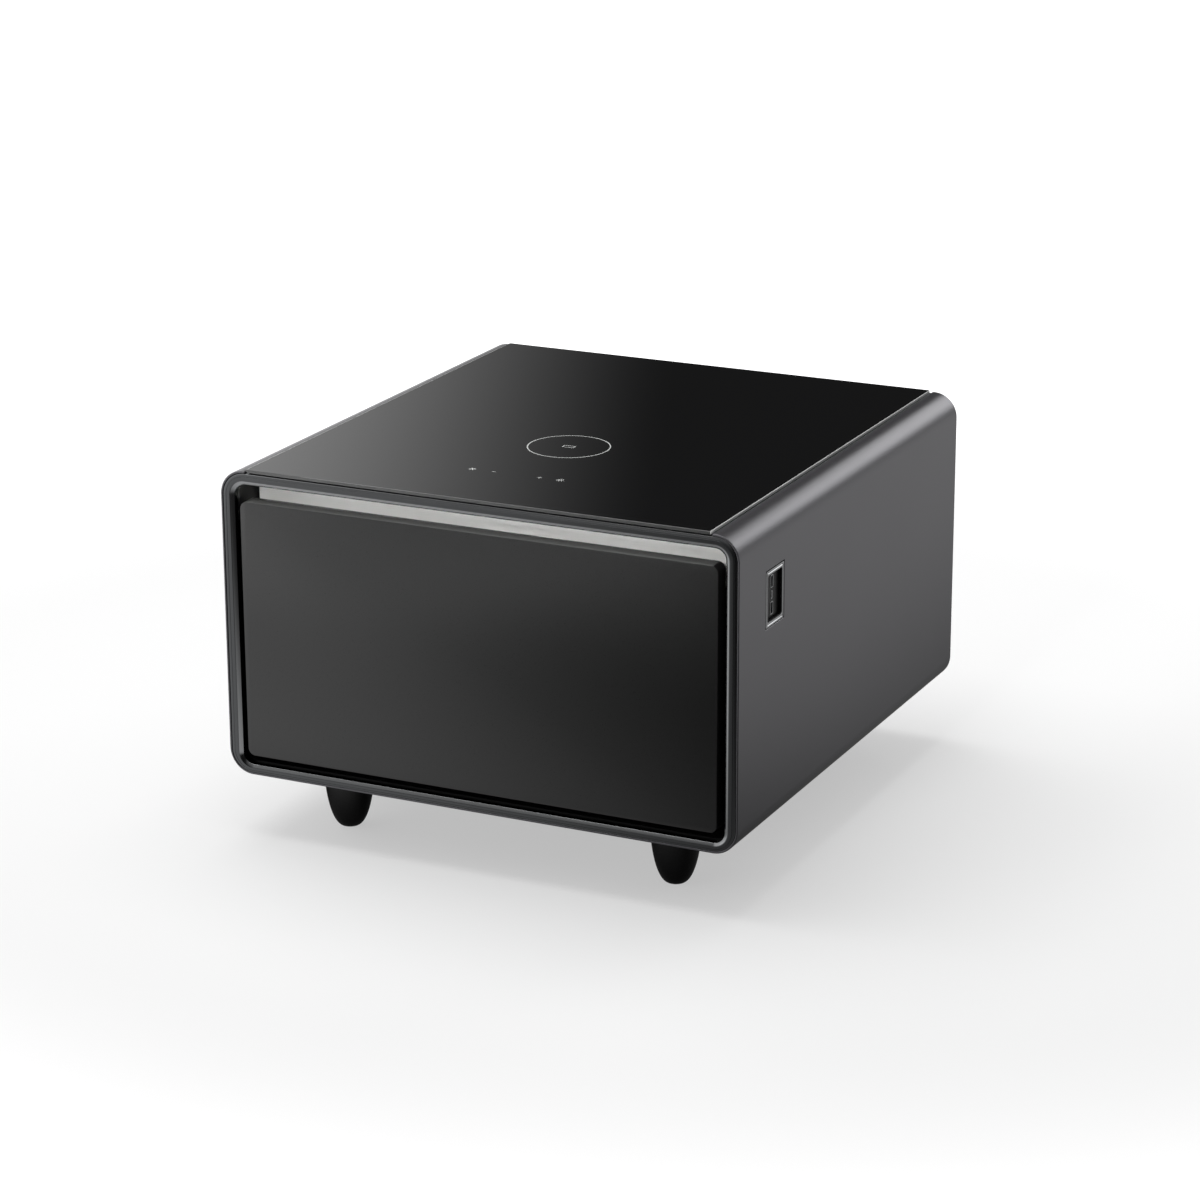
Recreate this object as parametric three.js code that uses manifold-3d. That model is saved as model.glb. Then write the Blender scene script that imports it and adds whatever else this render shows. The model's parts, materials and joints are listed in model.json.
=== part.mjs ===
// Refrigerator coffee table: a low cabinet on four feet with a glass top,
// one insulated drawer on telescopic slides, and a compressor unit behind it.
// Millimetres, +Z up, the front faces -Y, the origin is on the floor under the middle.

import * as THREE from 'three';
import { mergeVertices } from 'three/addons/utils/BufferGeometryUtils.js';
import Module from 'manifold-3d';

const wasm = await Module();
wasm.setup();

// Overall sizes
const bodyWidth = 650;
const bodyDepth = 670;
const bodyHeight = 369.5;
const bodyCorner = 30;
const footHeight = 78;
const seatGap = 0.3;
const cutOver = 2;

// Outer shell and glass top
const shellWall = 2.5;
const glassSideInset = 34.25;
const glassThick = 4;
const glassProud = 2.5;
const glassSideGap = 1.8;
const glassRearInset = 4;
const glassChamfer = 0.6;
const glassCorner = 3;

// Front frame and the mouth behind it
const frameDepth = 12;
const frameTopDrop = 3;
const frameRidgeShare = 0.6;
const frameOuterFall = 2.4;
const frameInnerFall = 4;
const mouthSideInset = 15;
const mouthBottomInset = 13.5;
const mouthTopInset = 15;
const mouthCorner = 15;
const mouthDepth = 68;
const surroundWall = 2;
const surroundFlange = 10.2;

// Drawer front: panel, finger channel, foam core, inner plate and gasket
const panelSideGap = 10;
const panelBottomGap = 10.3;
const fingerGap = 21;
const panelDeep = 20;
const panelWall = 3;
const panelCorner = 9;
const panelEdge = 1;
const doorLip = 5;
const doorWall = 2;
const doorTopGap = 5;
const gasketThick = 7.5;
const gasketWidth = 12;
const gasketInset = 2;
const gasketLip = 2.5;
const channelWall = 1.5;
const channelSideGap = 2.5;
const channelDrop = 34;

// Cooled compartment
const cavitySideInset = 45;
const cavityFloorInset = 43;
const cavityTopInset = 40;
const cavityCorner = 20;
const linerWall = 2;
const foamRear = 48;

// Rear compartment
const bayDepth = 152;
const rearPanelInset = 4;
const rearPanelWall = 1.5;
const rearPanelRim = 14;
const trayWall = 2;
const trayLip = 14;

// Feet
const footFromSide = 112.3;
const footBehindMouth = 15.5;
const footFromRear = 83.5;
const footTopRadius = 30;
const footTipRadius = 8.3;
const studRadius = 4;
const studInFoot = 20;
const studAbove = 12;
const nutRadius = 8;
const nutThick = 6.5;
const nutSides = 6;
const studSides = 12;

// Telescopic slides, one pair
const slideRearGap = 16;
const slideSetback = 6;
const slideHeight = 45;
const slideSheet = 1.5;
const slideCentreDrop = 68;
const ballRadius = 1.2;
const ballGap = 3;
const ballCount = 4;
const ballSides = 5;
const outerReach = 9.5;
const middleReach = 8.5;
const innerReach = 7.5;
const cageRoom = 1.3;
const cageSheet = 0.6;
const cageReach = 4.5;
const cageLength = 150;
const cageShare = 0.3;
const screwShares = [0.08, 0.5, 0.92];
const screwHole = 2.5;
const screwSides = 8;

// Drawer rails and tub
const railSheet = 1.5;
const railHeight = 84;
const railFoot = 30;
const railRearInset = 30;
const tubRearGap = 35.4;
const tubWall = 2.5;
const tubRim = 3;
const tubDraft = 9;
const tubCorner = 24;
const tubFloorGap = 8;
const tubTopGap = 15;

// Touch symbols and charging ring, as places on the glass
const touchRowFromFront = 112;
const touchRowWidth = 150;
const touchBoardDeep = 34;
const touchBoardThick = 3;
const touchChipShares = [[-0.38, 0.08], [0, 0.14], [0.36, 0.1]];
const chargeFromFront = 244.4;
const coilRadius = 26;
const coilBore = 9;
const coilThick = 2.6;
const windowMargin = 4;
const pocketDepth = 9;

// Socket in the right side, seen from the right: across is +Y, up is +Z
const socketWidth = 50;
const socketHeight = 66;
const socketBehindMouth = 31.5;
const socketBelowTop = 93.5;
const socketOpenWidth = 40;
const socketOpenHeight = 54;
const socketCorner = 2.5;
const bezelDeep = 7;
const bezelEdge = 0.7;
const housingWall = 1.6;
const housingFace = 11;
const housingDeep = 27;
const portDeep = 13;
const portWall = 0.6;
const portPitch = 15.5;
const portAWidth = 7;
const portAHeight = 14.5;
const portATongue = [2, 10.5];
const portCWidth = 3.4;
const portCHeight = 9.2;
const portCTongue = [0.8, 6.6];
const portCorner = 0.9;
const tongueDeep = 9;
const socketBoardThick = 1.6;
const pocketMargin = 3;

// Evaporator, sensor and the pipe through the rear wall
const pipeDrop = 77.5;
const pipeRadius = 3;
const pipeHoleRadius = 7;
const pipeSides = 6;
const evaporatorSideInset = 50;
const evaporatorLift = 29;
const evaporatorSheet = 1.5;
const evaporatorPasses = 5;
const evaporatorMargin = 30;
const probeRadius = 4;
const probeLength = 26;
const probeInset = 20;

// Louvres and mains inlet in the rear panel
const louvreSides = [-1, 1];
const louvreSideInset = 117;
const louvreBetween = 56;
const louvreRows = 6;
const louvrePitch = 20;
const louvreHeight = 6;
const louvreDrop = 147.5;
const louvreOut = 3;
const louvreSheet = 1.2;
const inletFromSide = 85;
const inletRise = 52;
const inletWidth = 28;
const inletHeight = 21;
const inletCorner = 3;
const inletWall = 2;
const inletFlange = 6;
const inletFlangeThick = 2.7;
const inletDeep = 22;
const inletPin = 4;
const inletPinShares = [[0, 0.16], [-0.24, -0.14], [0.24, -0.14]];

// Compressor on its tray
const traySideGap = 35;
const trayCorner = 8;
const compressorBeside = 112;
const canRadius = 52;
const canHeight = 144;
const canSeamShare = 1.03;
const canShares = [
  [0, 0],
  [0.6, 0],
  [0.86, 0.05],
  [1, 0.16],
  [1, 0.46],
  [canSeamShare, 0.46],
  [canSeamShare, 0.49],
  [1, 0.49],
  [1, 0.8],
  [0.9, 0.91],
  [0.62, 0.98],
  [0, 1],
];
const plateWidth = 150;
const plateDeep = 92;
const plateSheet = 2.5;
const stubAcross = 22;
const stubHeight = 18;
const stubSunk = 8;
const grommetRadius = 9;
const grommetHeight = 14;
const grommetWaistShare = 0.75;
const grommetAcross = 62;
const grommetAlong = 34;
const relayDeep = 22;
const relayWidth = 34;
const relayTall = 48;
const relayShare = 0.35;

// Cooling fan
const fanBeside = 88;
const fanSize = 112;
const fanThick = 25;
const fanBore = 52;
const fanCorner = 6;
const fanHole = 2.2;
const fanHoleInset = 6;
const strutWidth = 5;
const strutThick = 3;
const motorRadius = 16;
const motorLength = 11;
const shaftRadius = 2;
const shaftLength = 7;
const rotorClearance = 1.2;
const hubWall = 2;
const hubShare = 0.75;
const bladeCount = 7;
const bladeChord = 22;
const bladeCamber = 2;
const bladeThick = 1.2;
const bladeTipGap = 2;
const bladeShares = [[0, 0.8, 48], [0.5, 1, 36], [1, 1.15, 28]];

// Condenser and refrigerant pipes
const condenserFromFoot = 102.7;
const condenserRow = 26;
const condenserWidth = 92;
const condenserPasses = 3;
const condenserPitch = 34;
const condenserFootShare = 0.5;
const condenserSteps = 84;
const finSheet = 0.8;
const finShares = [-0.36, 0, 0.36];
const pipeRise = 22;
const pipeBendShare = 0.28;
const pipeSteps = 20;

// Power board in its tray on the foam wall
const boardFromSide = 100;
const boardDrop = 212.5;
const boardTrayWidth = 120;
const boardTrayHeight = 96;
const boardTrayDeep = 34;
const boardTrayWall = 2;
const boardThick = 1.6;
const boardPartShares = [
  [-0.3, 0.25, 0.22, 0.3, 0.6],
  [0.08, 0.28, 0.16, 0.24, 0.45],
  [0.32, -0.1, 0.18, 0.4, 0.7],
  [-0.28, -0.25, 0.3, 0.2, 0.35],
];

// How finely round stretches are stepped
const cornerSteps = 4;
const shellArcSteps = 4;
const footSteps = 20;
const footRings = 6;
const evaporatorSteps = 50;

// Places worked out from the sizes above
const bodyHalf = bodyWidth / 2;
const bodyBottom = footHeight;
const bodyTop = footHeight + bodyHeight;
const frontY = -bodyDepth / 2;
const glassHalf = bodyHalf - glassSideInset;
const recessHalf = glassHalf + glassSideGap;
const recessFloor = bodyTop + glassProud - glassThick - seatGap;
const roofUnder = recessFloor - shellWall;

// Looks
const looks = {
  shell: { color: 0x4c4c4f, roughness: 0.38, metalness: 0.75 },
  frame: { color: 0x5a5c5e, roughness: 0.35, metalness: 0.9 },
  glass: { color: 0x08080a, roughness: 0.05, metalness: 0.0 },
  panel: { color: 0x2a2a2a, roughness: 0.42, metalness: 0.1 },
  blackPlastic: { color: 0x101010, roughness: 0.55, metalness: 0.0 },
  glossPlastic: { color: 0x070707, roughness: 0.12, metalness: 0.0 },
  whitePlastic: { color: 0xdfe1e0, roughness: 0.45, metalness: 0.0 },
  aluminium: { color: 0xa9a9a4, roughness: 0.32, metalness: 1.0 },
  foam: { color: 0xd9c790, roughness: 0.95, metalness: 0.0 },
  rubber: { color: 0x1c1c1c, roughness: 0.8, metalness: 0.0 },
  zinc: { color: 0xb4b8bb, roughness: 0.35, metalness: 1.0 },
  copper: { color: 0xb5693f, roughness: 0.35, metalness: 1.0 },
  blackSteel: { color: 0x161616, roughness: 0.45, metalness: 0.5 },
  circuit: { color: 0x1d5a35, roughness: 0.5, metalness: 0.0 },
};

const table = new THREE.Group();

// Pieces modelled looking at the front: x right, y up, z towards the viewer, with the
// front plane at z = 0, so a depth behind that plane is a negative z.
const facing = new THREE.Group();
facing.rotation.x = Math.PI / 2;
facing.position.y = frontY;
table.add(facing);

function piece(name, geometry, look, group = table) {
  const mesh = new THREE.Mesh(geometry, new THREE.MeshStandardMaterial(looks[look]));
  mesh.name = name;
  group.add(mesh);
  return mesh;
}

// Only positions, shared corners merged, and no triangle with two corners alike
function weld(geometry) {
  const bare = geometry.clone();
  bare.deleteAttribute('normal');
  bare.deleteAttribute('uv');
  const merged = mergeVertices(bare);
  const corners = merged.index.array;
  const kept = [];
  for (let i = 0; i < corners.length; i += 3) {
    const [a, b, c] = [corners[i], corners[i + 1], corners[i + 2]];
    if (a !== b && b !== c && c !== a) {
      kept.push(a, b, c);
    }
  }
  merged.setIndex(kept);
  return merged;
}

function solid(geometry) {
  const welded = outward(weld(geometry));
  const mesh = new wasm.Mesh({
    numProp: 3,
    vertProperties: new Float32Array(welded.attributes.position.array),
    triVerts: new Uint32Array(welded.index.array),
  });
  return new wasm.Manifold(mesh);
}

function geometryOf(manifold) {
  const mesh = manifold.getMesh();
  const geometry = new THREE.BufferGeometry();
  geometry.setAttribute('position', new THREE.BufferAttribute(mesh.vertProperties, 3));
  geometry.setIndex(new THREE.BufferAttribute(mesh.triVerts, 1));
  geometry.computeVertexNormals();
  return geometry;
}

function cut(base, ...tools) {
  return geometryOf(tools.reduce((body, tool) => body.subtract(solid(tool)), solid(base)));
}

function join(base, ...more) {
  return geometryOf(more.reduce((body, other) => body.add(solid(other)), solid(base)));
}

// A box between pairs of low and high values
function block(x, y, z) {
  const box = new THREE.BoxGeometry(x[1] - x[0], y[1] - y[0], z[1] - z[0]);
  return box.translate((x[0] + x[1]) / 2, (y[0] + y[1]) / 2, (z[0] + z[1]) / 2);
}

// The z range that lies between two depths behind the front plane
function deep(from, to) {
  return [-to, -from];
}

// A rectangle with round corners, grown or shrunk without moving its middle
function rectangle(halfWidth, low, high, radius) {
  return { left: -halfWidth, right: halfWidth, low, high, radius };
}

function grown(shape, by) {
  return {
    left: shape.left - by,
    right: shape.right + by,
    low: shape.low - by,
    high: shape.high + by,
    radius: Math.max(shape.radius + by, seatGap),
  };
}

function cornerPoints(shape, steps) {
  const { left, right, low, high, radius } = shape;
  const centres = [
    [right - radius, high - radius],
    [left + radius, high - radius],
    [left + radius, low + radius],
    [right - radius, low + radius],
  ];
  const points = [];
  centres.forEach(([x, y], quarter) => {
    for (let step = 0; step <= steps; step += 1) {
      const angle = (quarter + step / steps) * Math.PI / 2;
      points.push([x + radius * Math.cos(angle), y + radius * Math.sin(angle)]);
    }
  });
  return points;
}

// A surface drawn through a row of outlines, each { points, at } with at along z.
// A cup is closed by its first and last outline, a ring runs from the last to the first.
function surface(outlines, closed) {
  const count = outlines[0].points.length;
  const positions = outlines.flatMap(({ points, at }) => points.flatMap(([x, y]) => [x, y, at]));
  const faces = [];
  const rows = closed ? outlines.length : outlines.length - 1;
  for (let row = 0; row < rows; row += 1) {
    const next = (row + 1) % outlines.length;
    for (let i = 0; i < count; i += 1) {
      const j = (i + 1) % count;
      const [a, b] = [row * count + i, row * count + j];
      const [c, d] = [next * count + i, next * count + j];
      faces.push(a, b, d, a, d, c);
    }
  }
  if (!closed) {
    const last = (outlines.length - 1) * count;
    for (let i = 1; i < count - 1; i += 1) {
      faces.push(0, i + 1, i, last, last + i, last + i + 1);
    }
  }
  const geometry = new THREE.BufferGeometry();
  geometry.setAttribute('position', new THREE.Float32BufferAttribute(positions, 3));
  geometry.setIndex(faces);
  return outward(geometry);
}

// Turns a surface the right way round when its signed volume is negative
function outward(geometry) {
  const place = geometry.attributes.position;
  const corners = geometry.index.array;
  const [a, b, c] = [new THREE.Vector3(), new THREE.Vector3(), new THREE.Vector3()];
  let volume = 0;
  for (let i = 0; i < corners.length; i += 3) {
    a.fromBufferAttribute(place, corners[i]);
    b.fromBufferAttribute(place, corners[i + 1]);
    c.fromBufferAttribute(place, corners[i + 2]);
    volume += a.dot(b.cross(c));
  }
  if (volume < 0) {
    for (let i = 0; i < corners.length; i += 3) {
      [corners[i + 1], corners[i + 2]] = [corners[i + 2], corners[i + 1]];
    }
  }
  geometry.computeVertexNormals();
  return geometry;
}

function loft(levels, steps = cornerSteps) {
  return surface(levels.map(([shape, at]) => ({ points: cornerPoints(shape, steps), at })), false);
}

function ring(levels, steps = cornerSteps) {
  return surface(levels.map(([shape, at]) => ({ points: cornerPoints(shape, steps), at })), true);
}

function round(radius, height, sides = footSteps) {
  return new THREE.CylinderGeometry(radius, radius, height, sides);
}

// A flat outline pushed along z from one value to another
function pushed(points, from, to) {
  const shape = new THREE.Shape(points.map(([x, y]) => new THREE.Vector2(x, y)));
  const geometry = new THREE.ExtrudeGeometry(shape, { depth: to - from, bevelEnabled: false });
  return geometry.translate(0, 0, from);
}

// Outlines of the front, all in the facing frame: height above the floor is y
const shellInside = grown(rectangle(bodyHalf, bodyBottom, bodyTop, bodyCorner), -shellWall);
const mouth = rectangle(
  bodyHalf - mouthSideInset,
  bodyBottom + mouthBottomInset,
  bodyTop - mouthTopInset,
  mouthCorner,
);
const panel = rectangle(
  mouth.right - panelSideGap,
  mouth.low + panelBottomGap,
  mouth.high - fingerGap,
  panelCorner,
);
const cavity = rectangle(
  bodyHalf - cavitySideInset,
  bodyBottom + cavityFloorInset,
  bodyTop - cavityTopInset,
  cavityCorner,
);
const foamBack = bodyDepth - bayDepth;
const cavityRear = foamBack - foamRear;
const foamOutline = {
  ...grown(shellInside, -seatGap),
  high: roofUnder - seatGap,
};

const socketFromFront = mouthDepth + socketBehindMouth;
const socketY = frontY + socketFromFront;
const socketZ = bodyTop - socketBelowTop;

// Feet places
const footX = bodyHalf - footFromSide;
const footFrontY = frontY + mouthDepth + footBehindMouth;
const footRearY = bodyDepth / 2 - footFromRear;
const footPlaces = [
  ['front_left', -footX, footFrontY],
  ['front_right', footX, footFrontY],
  ['rear_left', -footX, footRearY],
  ['rear_right', footX, footRearY],
];
const studHole = studRadius + seatGap;

// Outer shell: one folded wrap whose roof is let down to take the glass
function shellProfile() {
  const shape = new THREE.Shape();
  const arcX = bodyHalf - bodyCorner;
  const highArc = bodyTop - bodyCorner;
  const lowArc = bodyBottom + bodyCorner;
  shape.moveTo(-arcX, bodyBottom);
  shape.lineTo(arcX, bodyBottom);
  shape.absarc(arcX, lowArc, bodyCorner, -Math.PI / 2, 0, false);
  shape.lineTo(bodyHalf, highArc);
  shape.absarc(arcX, highArc, bodyCorner, 0, Math.PI / 2, false);
  shape.lineTo(recessHalf, bodyTop);
  shape.lineTo(recessHalf, recessFloor);
  shape.lineTo(-recessHalf, recessFloor);
  shape.lineTo(-recessHalf, bodyTop);
  shape.lineTo(-arcX, bodyTop);
  shape.absarc(-arcX, highArc, bodyCorner, Math.PI / 2, Math.PI, false);
  shape.lineTo(-bodyHalf, lowArc);
  shape.absarc(-arcX, lowArc, bodyCorner, Math.PI, Math.PI * 1.5, false);
  const inside = new THREE.Path();
  const radius = shellInside.radius;
  inside.moveTo(-arcX, shellInside.low);
  inside.lineTo(arcX, shellInside.low);
  inside.absarc(arcX, lowArc, radius, -Math.PI / 2, 0, false);
  inside.lineTo(shellInside.right, highArc);
  inside.absarc(arcX, highArc, radius, 0, Math.PI / 2, false);
  inside.lineTo(arcX, roofUnder);
  inside.lineTo(-arcX, roofUnder);
  inside.lineTo(-arcX, shellInside.high);
  inside.absarc(-arcX, highArc, radius, Math.PI / 2, Math.PI, false);
  inside.lineTo(shellInside.left, lowArc);
  inside.absarc(-arcX, lowArc, radius, Math.PI, Math.PI * 1.5, false);
  shape.holes.push(inside);
  return shape;
}

function outerShell() {
  const wrap = new THREE.ExtrudeGeometry(shellProfile(), {
    depth: bodyDepth,
    bevelEnabled: false,
    curveSegments: shellArcSteps,
  });
  wrap.translate(0, 0, -bodyDepth);
  const foldX = bodyHalf - bodyCorner;
  const notch = deep(-cutOver, frameDepth + seatGap);
  const notchHalf = recessHalf + seatGap;
  const cuts = [
    block([-notchHalf, notchHalf], [roofUnder - cutOver, bodyTop + cutOver], notch),
    block(
      [-foldX - seatGap, foldX + seatGap],
      [roofUnder - cutOver, shellInside.high - seatGap / 2],
      notch,
    ),
    block(
      [bodyHalf - bodyCorner, bodyHalf + cutOver],
      [socketZ - socketHeight / 2 - seatGap, socketZ + socketHeight / 2 + seatGap],
      deep(socketFromFront - socketWidth / 2 - seatGap, socketFromFront + socketWidth / 2 + seatGap),
    ),
    ...roofWindows(recessFloor),
    ...footPlaces.map(([, x, y]) => {
      const hole = round(studHole, shellWall + cutOver);
      return hole.translate(x, bodyBottom + shellWall / 2, frontY - y);
    }),
  ];
  return cut(wrap, ...cuts);
}

// Openings under the glass for the touch board and the charging coil
function roofWindows(top) {
  const halfRow = touchRowWidth / 2 + windowMargin;
  const halfDeep = touchBoardDeep / 2 + windowMargin;
  const height = [top - pocketDepth, top + cutOver];
  const well = round(coilRadius + windowMargin, height[1] - height[0]);
  return [
    block(
      [-halfRow, halfRow],
      height,
      deep(touchRowFromFront - halfDeep, touchRowFromFront + halfDeep),
    ),
    well.translate(0, (height[0] + height[1]) / 2, -chargeFromFront),
  ];
}

function glassTop() {
  const face = {
    left: -glassHalf,
    right: glassHalf,
    low: frontY,
    high: -frontY - glassRearInset,
    radius: glassCorner,
  };
  const eased = grown(face, -glassChamfer);
  const under = bodyTop + glassProud - glassThick;
  return loft([
    [eased, under],
    [face, under + glassChamfer],
    [face, bodyTop + glassProud - glassChamfer],
    [eased, bodyTop + glassProud],
  ]);
}

// The frame is drawn between its outer and inner outline, by shares of the way across
function frontFrame() {
  const outer = { ...grown(shellInside, -seatGap), high: bodyTop - frameTopDrop };
  const outerPoints = cornerPoints(outer, cornerSteps);
  const innerPoints = cornerPoints(mouth, cornerSteps);
  const across = (share) => outerPoints.map(([x, y], i) => [
    x + (innerPoints[i][0] - x) * share,
    y + (innerPoints[i][1] - y) * share,
  ]);
  const section = [
    [0, -frameDepth],
    [0, -frameOuterFall],
    [frameRidgeShare, 0],
    [1, -frameInnerFall],
    [1, -frameDepth],
  ];
  return surface(section.map(([share, at]) => ({ points: across(share), at })), true);
}

// Black tunnel that lines the gap round the drawer front, open where the header goes
const surroundFront = frameDepth + seatGap;
const surroundRear = mouthDepth - seatGap;
const headerHalf = mouth.right - mouthCorner;

function mouthSurround() {
  const tunnel = ring([
    [mouth, -surroundFront],
    [grown(mouth, surroundFlange), -surroundFront],
    [grown(mouth, surroundFlange), -surroundFront - surroundWall],
    [grown(mouth, surroundWall), -surroundFront - surroundWall],
    [grown(mouth, surroundWall), -surroundRear],
    [mouth, -surroundRear],
  ]);
  const room = block(
    [-headerHalf, headerHalf],
    [mouth.high - cutOver, mouth.high + surroundFlange + cutOver],
    deep(frameDepth, mouthDepth),
  );
  return cut(tunnel, room);
}

// Header: the tunnel's straight roof between its rounded corners
function mouthHeader() {
  const across = [-headerHalf + seatGap, headerHalf - seatGap];
  const flange = block(
    across,
    [mouth.high, mouth.high + surroundFlange],
    deep(surroundFront, surroundFront + surroundWall),
  );
  const roof = block(
    across,
    [mouth.high, mouth.high + surroundWall],
    deep(surroundFront, surroundRear),
  );
  return join(flange, roof);
}

// White food liner: a deep tray with a flange that the gasket meets
function innerLiner() {
  const back = grown(cavity, linerWall);
  const flange = grown(mouth, surroundFlange);
  const tray = loft([
    [back, -cavityRear - linerWall],
    [back, -mouthDepth - linerWall],
    [flange, -mouthDepth - linerWall],
    [flange, -mouthDepth],
    [cavity, -mouthDepth],
    [cavity, -cavityRear],
  ]);
  return cut(tray, pipeHole());
}

function insulation() {
  const room = grown(cavity, linerWall + seatGap);
  const front = -mouthDepth - linerWall - seatGap;
  const foam = loft([
    [foamOutline, -foamBack],
    [foamOutline, front],
    [room, front],
    [room, -cavityRear - linerWall - seatGap],
  ]);
  return cut(foam, ...roofWindows(roofUnder), socketPocket(), pipeHole(), ...nutPockets());
}

function socketPocket() {
  const halfWide = socketWidth / 2 + pocketMargin;
  const halfTall = socketHeight / 2 + pocketMargin;
  return block(
    [bodyHalf - shellWall - housingDeep - pocketMargin, bodyHalf],
    [socketZ - halfTall, socketZ + halfTall],
    deep(socketFromFront - halfWide, socketFromFront + halfWide),
  );
}

function nutPockets() {
  const radius = nutRadius + windowMargin;
  const height = studAbove + windowMargin;
  return footPlaces.filter(([, , y]) => y < 0).map(([, x, y]) => {
    const pocket = round(radius, height);
    return pocket.translate(x, bodyBottom + height / 2, frontY - y);
  });
}

// Drawer front, from the panel back to the gasket
const doorBack = mouthDepth - gasketThick;
const doorBody = {
  ...grown(panel, -doorLip),
  high: mouth.high - doorTopGap,
  radius: panelCorner,
};
const channelFront = panelDeep + seatGap;
const channelRear = doorBack - doorWall - seatGap;
const channelFloor = panel.high - channelDrop;
const channelBack = rectangle(
  mouth.right - channelSideGap,
  channelFloor,
  doorBody.high,
  mouthCorner - channelSideGap,
);

function drawerPanel() {
  const inside = grown(panel, -panelWall);
  return loft([
    [inside, -panelWall],
    [inside, -panelDeep],
    [panel, -panelDeep],
    [panel, -panelEdge],
    [grown(panel, -panelEdge), 0],
  ]);
}

// Aluminium channel behind the panel's top edge, where the fingers pull; its back wall is wider
function pullChannel() {
  const lip = block(
    [doorBody.left, doorBody.right],
    [channelFloor, panel.high - panelEdge],
    deep(channelFront, channelFront + channelWall),
  );
  const floor = block(
    [doorBody.left, doorBody.right],
    [channelFloor, channelFloor + channelWall],
    deep(channelFront, channelRear),
  );
  const back = loft([
    [channelBack, -channelRear],
    [channelBack, -channelRear + channelWall],
  ]);
  return join(lip, floor, back);
}

// The space that the finger channel takes out of the pieces behind the panel
function channelRoom() {
  return block(
    [doorBody.left - cutOver, doorBody.right + cutOver],
    [channelFloor - seatGap, doorBody.high + cutOver],
    deep(panelDeep, doorBack - doorWall),
  );
}

function doorLiner() {
  const inside = grown(doorBody, -doorWall);
  const tray = loft([
    [doorBody, -doorBack],
    [doorBody, -channelFront],
    [inside, -channelFront],
    [inside, -doorBack + doorWall],
  ]);
  return cut(tray, channelRoom());
}

function doorCore() {
  const inPanel = grown(panel, -panelWall - seatGap);
  const inLiner = grown(doorBody, -doorWall - seatGap);
  const body = loft([
    [inPanel, -panelWall - seatGap],
    [inPanel, -panelDeep],
    [{ ...inLiner, high: channelFloor }, -panelDeep],
    [{ ...inLiner, high: channelFloor }, -doorBack + doorWall + seatGap],
  ]);
  return cut(body, channelRoom());
}

// Magnetic seal: a wide foot in the door and a narrower bulb against the liner
function doorGasket() {
  const outer = grown(doorBody, -gasketInset);
  const foot = -doorBack - seatGap;
  const neck = foot - gasketLip;
  const face = -mouthDepth + seatGap;
  return ring([
    [outer, foot],
    [outer, neck],
    [grown(outer, -gasketLip), neck],
    [grown(outer, -gasketLip), face],
    [grown(outer, gasketLip - gasketWidth), face],
    [grown(outer, gasketLip - gasketWidth), neck],
    [grown(outer, -gasketWidth), neck],
    [grown(outer, -gasketWidth), foot],
  ]);
}

// Slide members nest inside each other across the gap between liner and drawer rail
const slideFront = mouthDepth + slideSetback;
const slideRear = cavityRear - slideRearGap;
const slideLength = slideRear - slideFront;
const slideCentre = cavity.high - slideCentreDrop;
const outerBack = cavity.right - seatGap;
const middleBack = outerBack - slideSheet - cageRoom;
const innerTip = middleBack - slideSheet - cageRoom;
const innerBack = innerTip - innerReach;
const outerHalf = slideHeight / 2;
const middleHalf = outerHalf - slideSheet - ballGap;
const innerHalf = middleHalf - slideSheet - ballGap;

// A channel section: its web at x = back, its lips reaching to x = tip
function channelSection(side, back, tip, half, sheet) {
  const web = back + Math.sign(tip - back) * sheet;
  const points = [
    [back, -half],
    [tip, -half],
    [tip, sheet - half],
    [web, sheet - half],
    [web, half - sheet],
    [tip, half - sheet],
    [tip, half],
    [back, half],
  ];
  return points.map(([x, y]) => [side * x, slideCentre + y]);
}

function slideMember(side, back, tip, half) {
  const bar = pushed(channelSection(side, back, tip, half, slideSheet), -slideRear, -slideFront);
  const holes = screwShares.map((share) => {
    const hole = new THREE.CylinderGeometry(screwHole, screwHole, slideHeight, screwSides);
    hole.rotateZ(Math.PI / 2);
    return hole.translate(side * back, slideCentre, -slideFront - slideLength * share);
  });
  return cut(bar, ...holes);
}

// Ball cage: a bent strip that keeps two rows of balls apart
function ballCage(side, back, tip, half) {
  const front = slideFront + slideLength * cageShare;
  const strip = channelSection(side, back, tip, half + cageSheet / 2, cageSheet);
  const balls = [];
  for (const row of [-half, half]) {
    for (let i = 0; i < ballCount; i += 1) {
      const ball = new THREE.SphereGeometry(ballRadius, ballSides, ballSides - 2);
      const along = front + cageLength * (i + 0.5) / ballCount;
      balls.push(ball.translate(side * tip, slideCentre + row, -along));
    }
  }
  return join(pushed(strip, -front - cageLength, -front), ...balls);
}

// Steel side rail that joins the door to a slide and carries the tub's rim
const railOuter = innerBack - seatGap;
const railInner = railOuter - railSheet;
const railFront = doorBack + seatGap;
const railRear = cavityRear - railRearInset;
const railTop = cavity.high - tubTopGap - tubRim - seatGap;

function drawerRail(side) {
  const plan = [
    [railOuter, railFront],
    [railOuter, railRear],
    [railInner, railRear],
    [railInner, railFront + railSheet],
    [railOuter - railFoot, railFront + railSheet],
    [railOuter - railFoot, railFront],
  ];
  const rail = pushed(plan.map(([x, depth]) => [side * x, depth]), railTop - railHeight, railTop);
  return outward(weld(rail.rotateX(-Math.PI / 2)));
}

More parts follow.
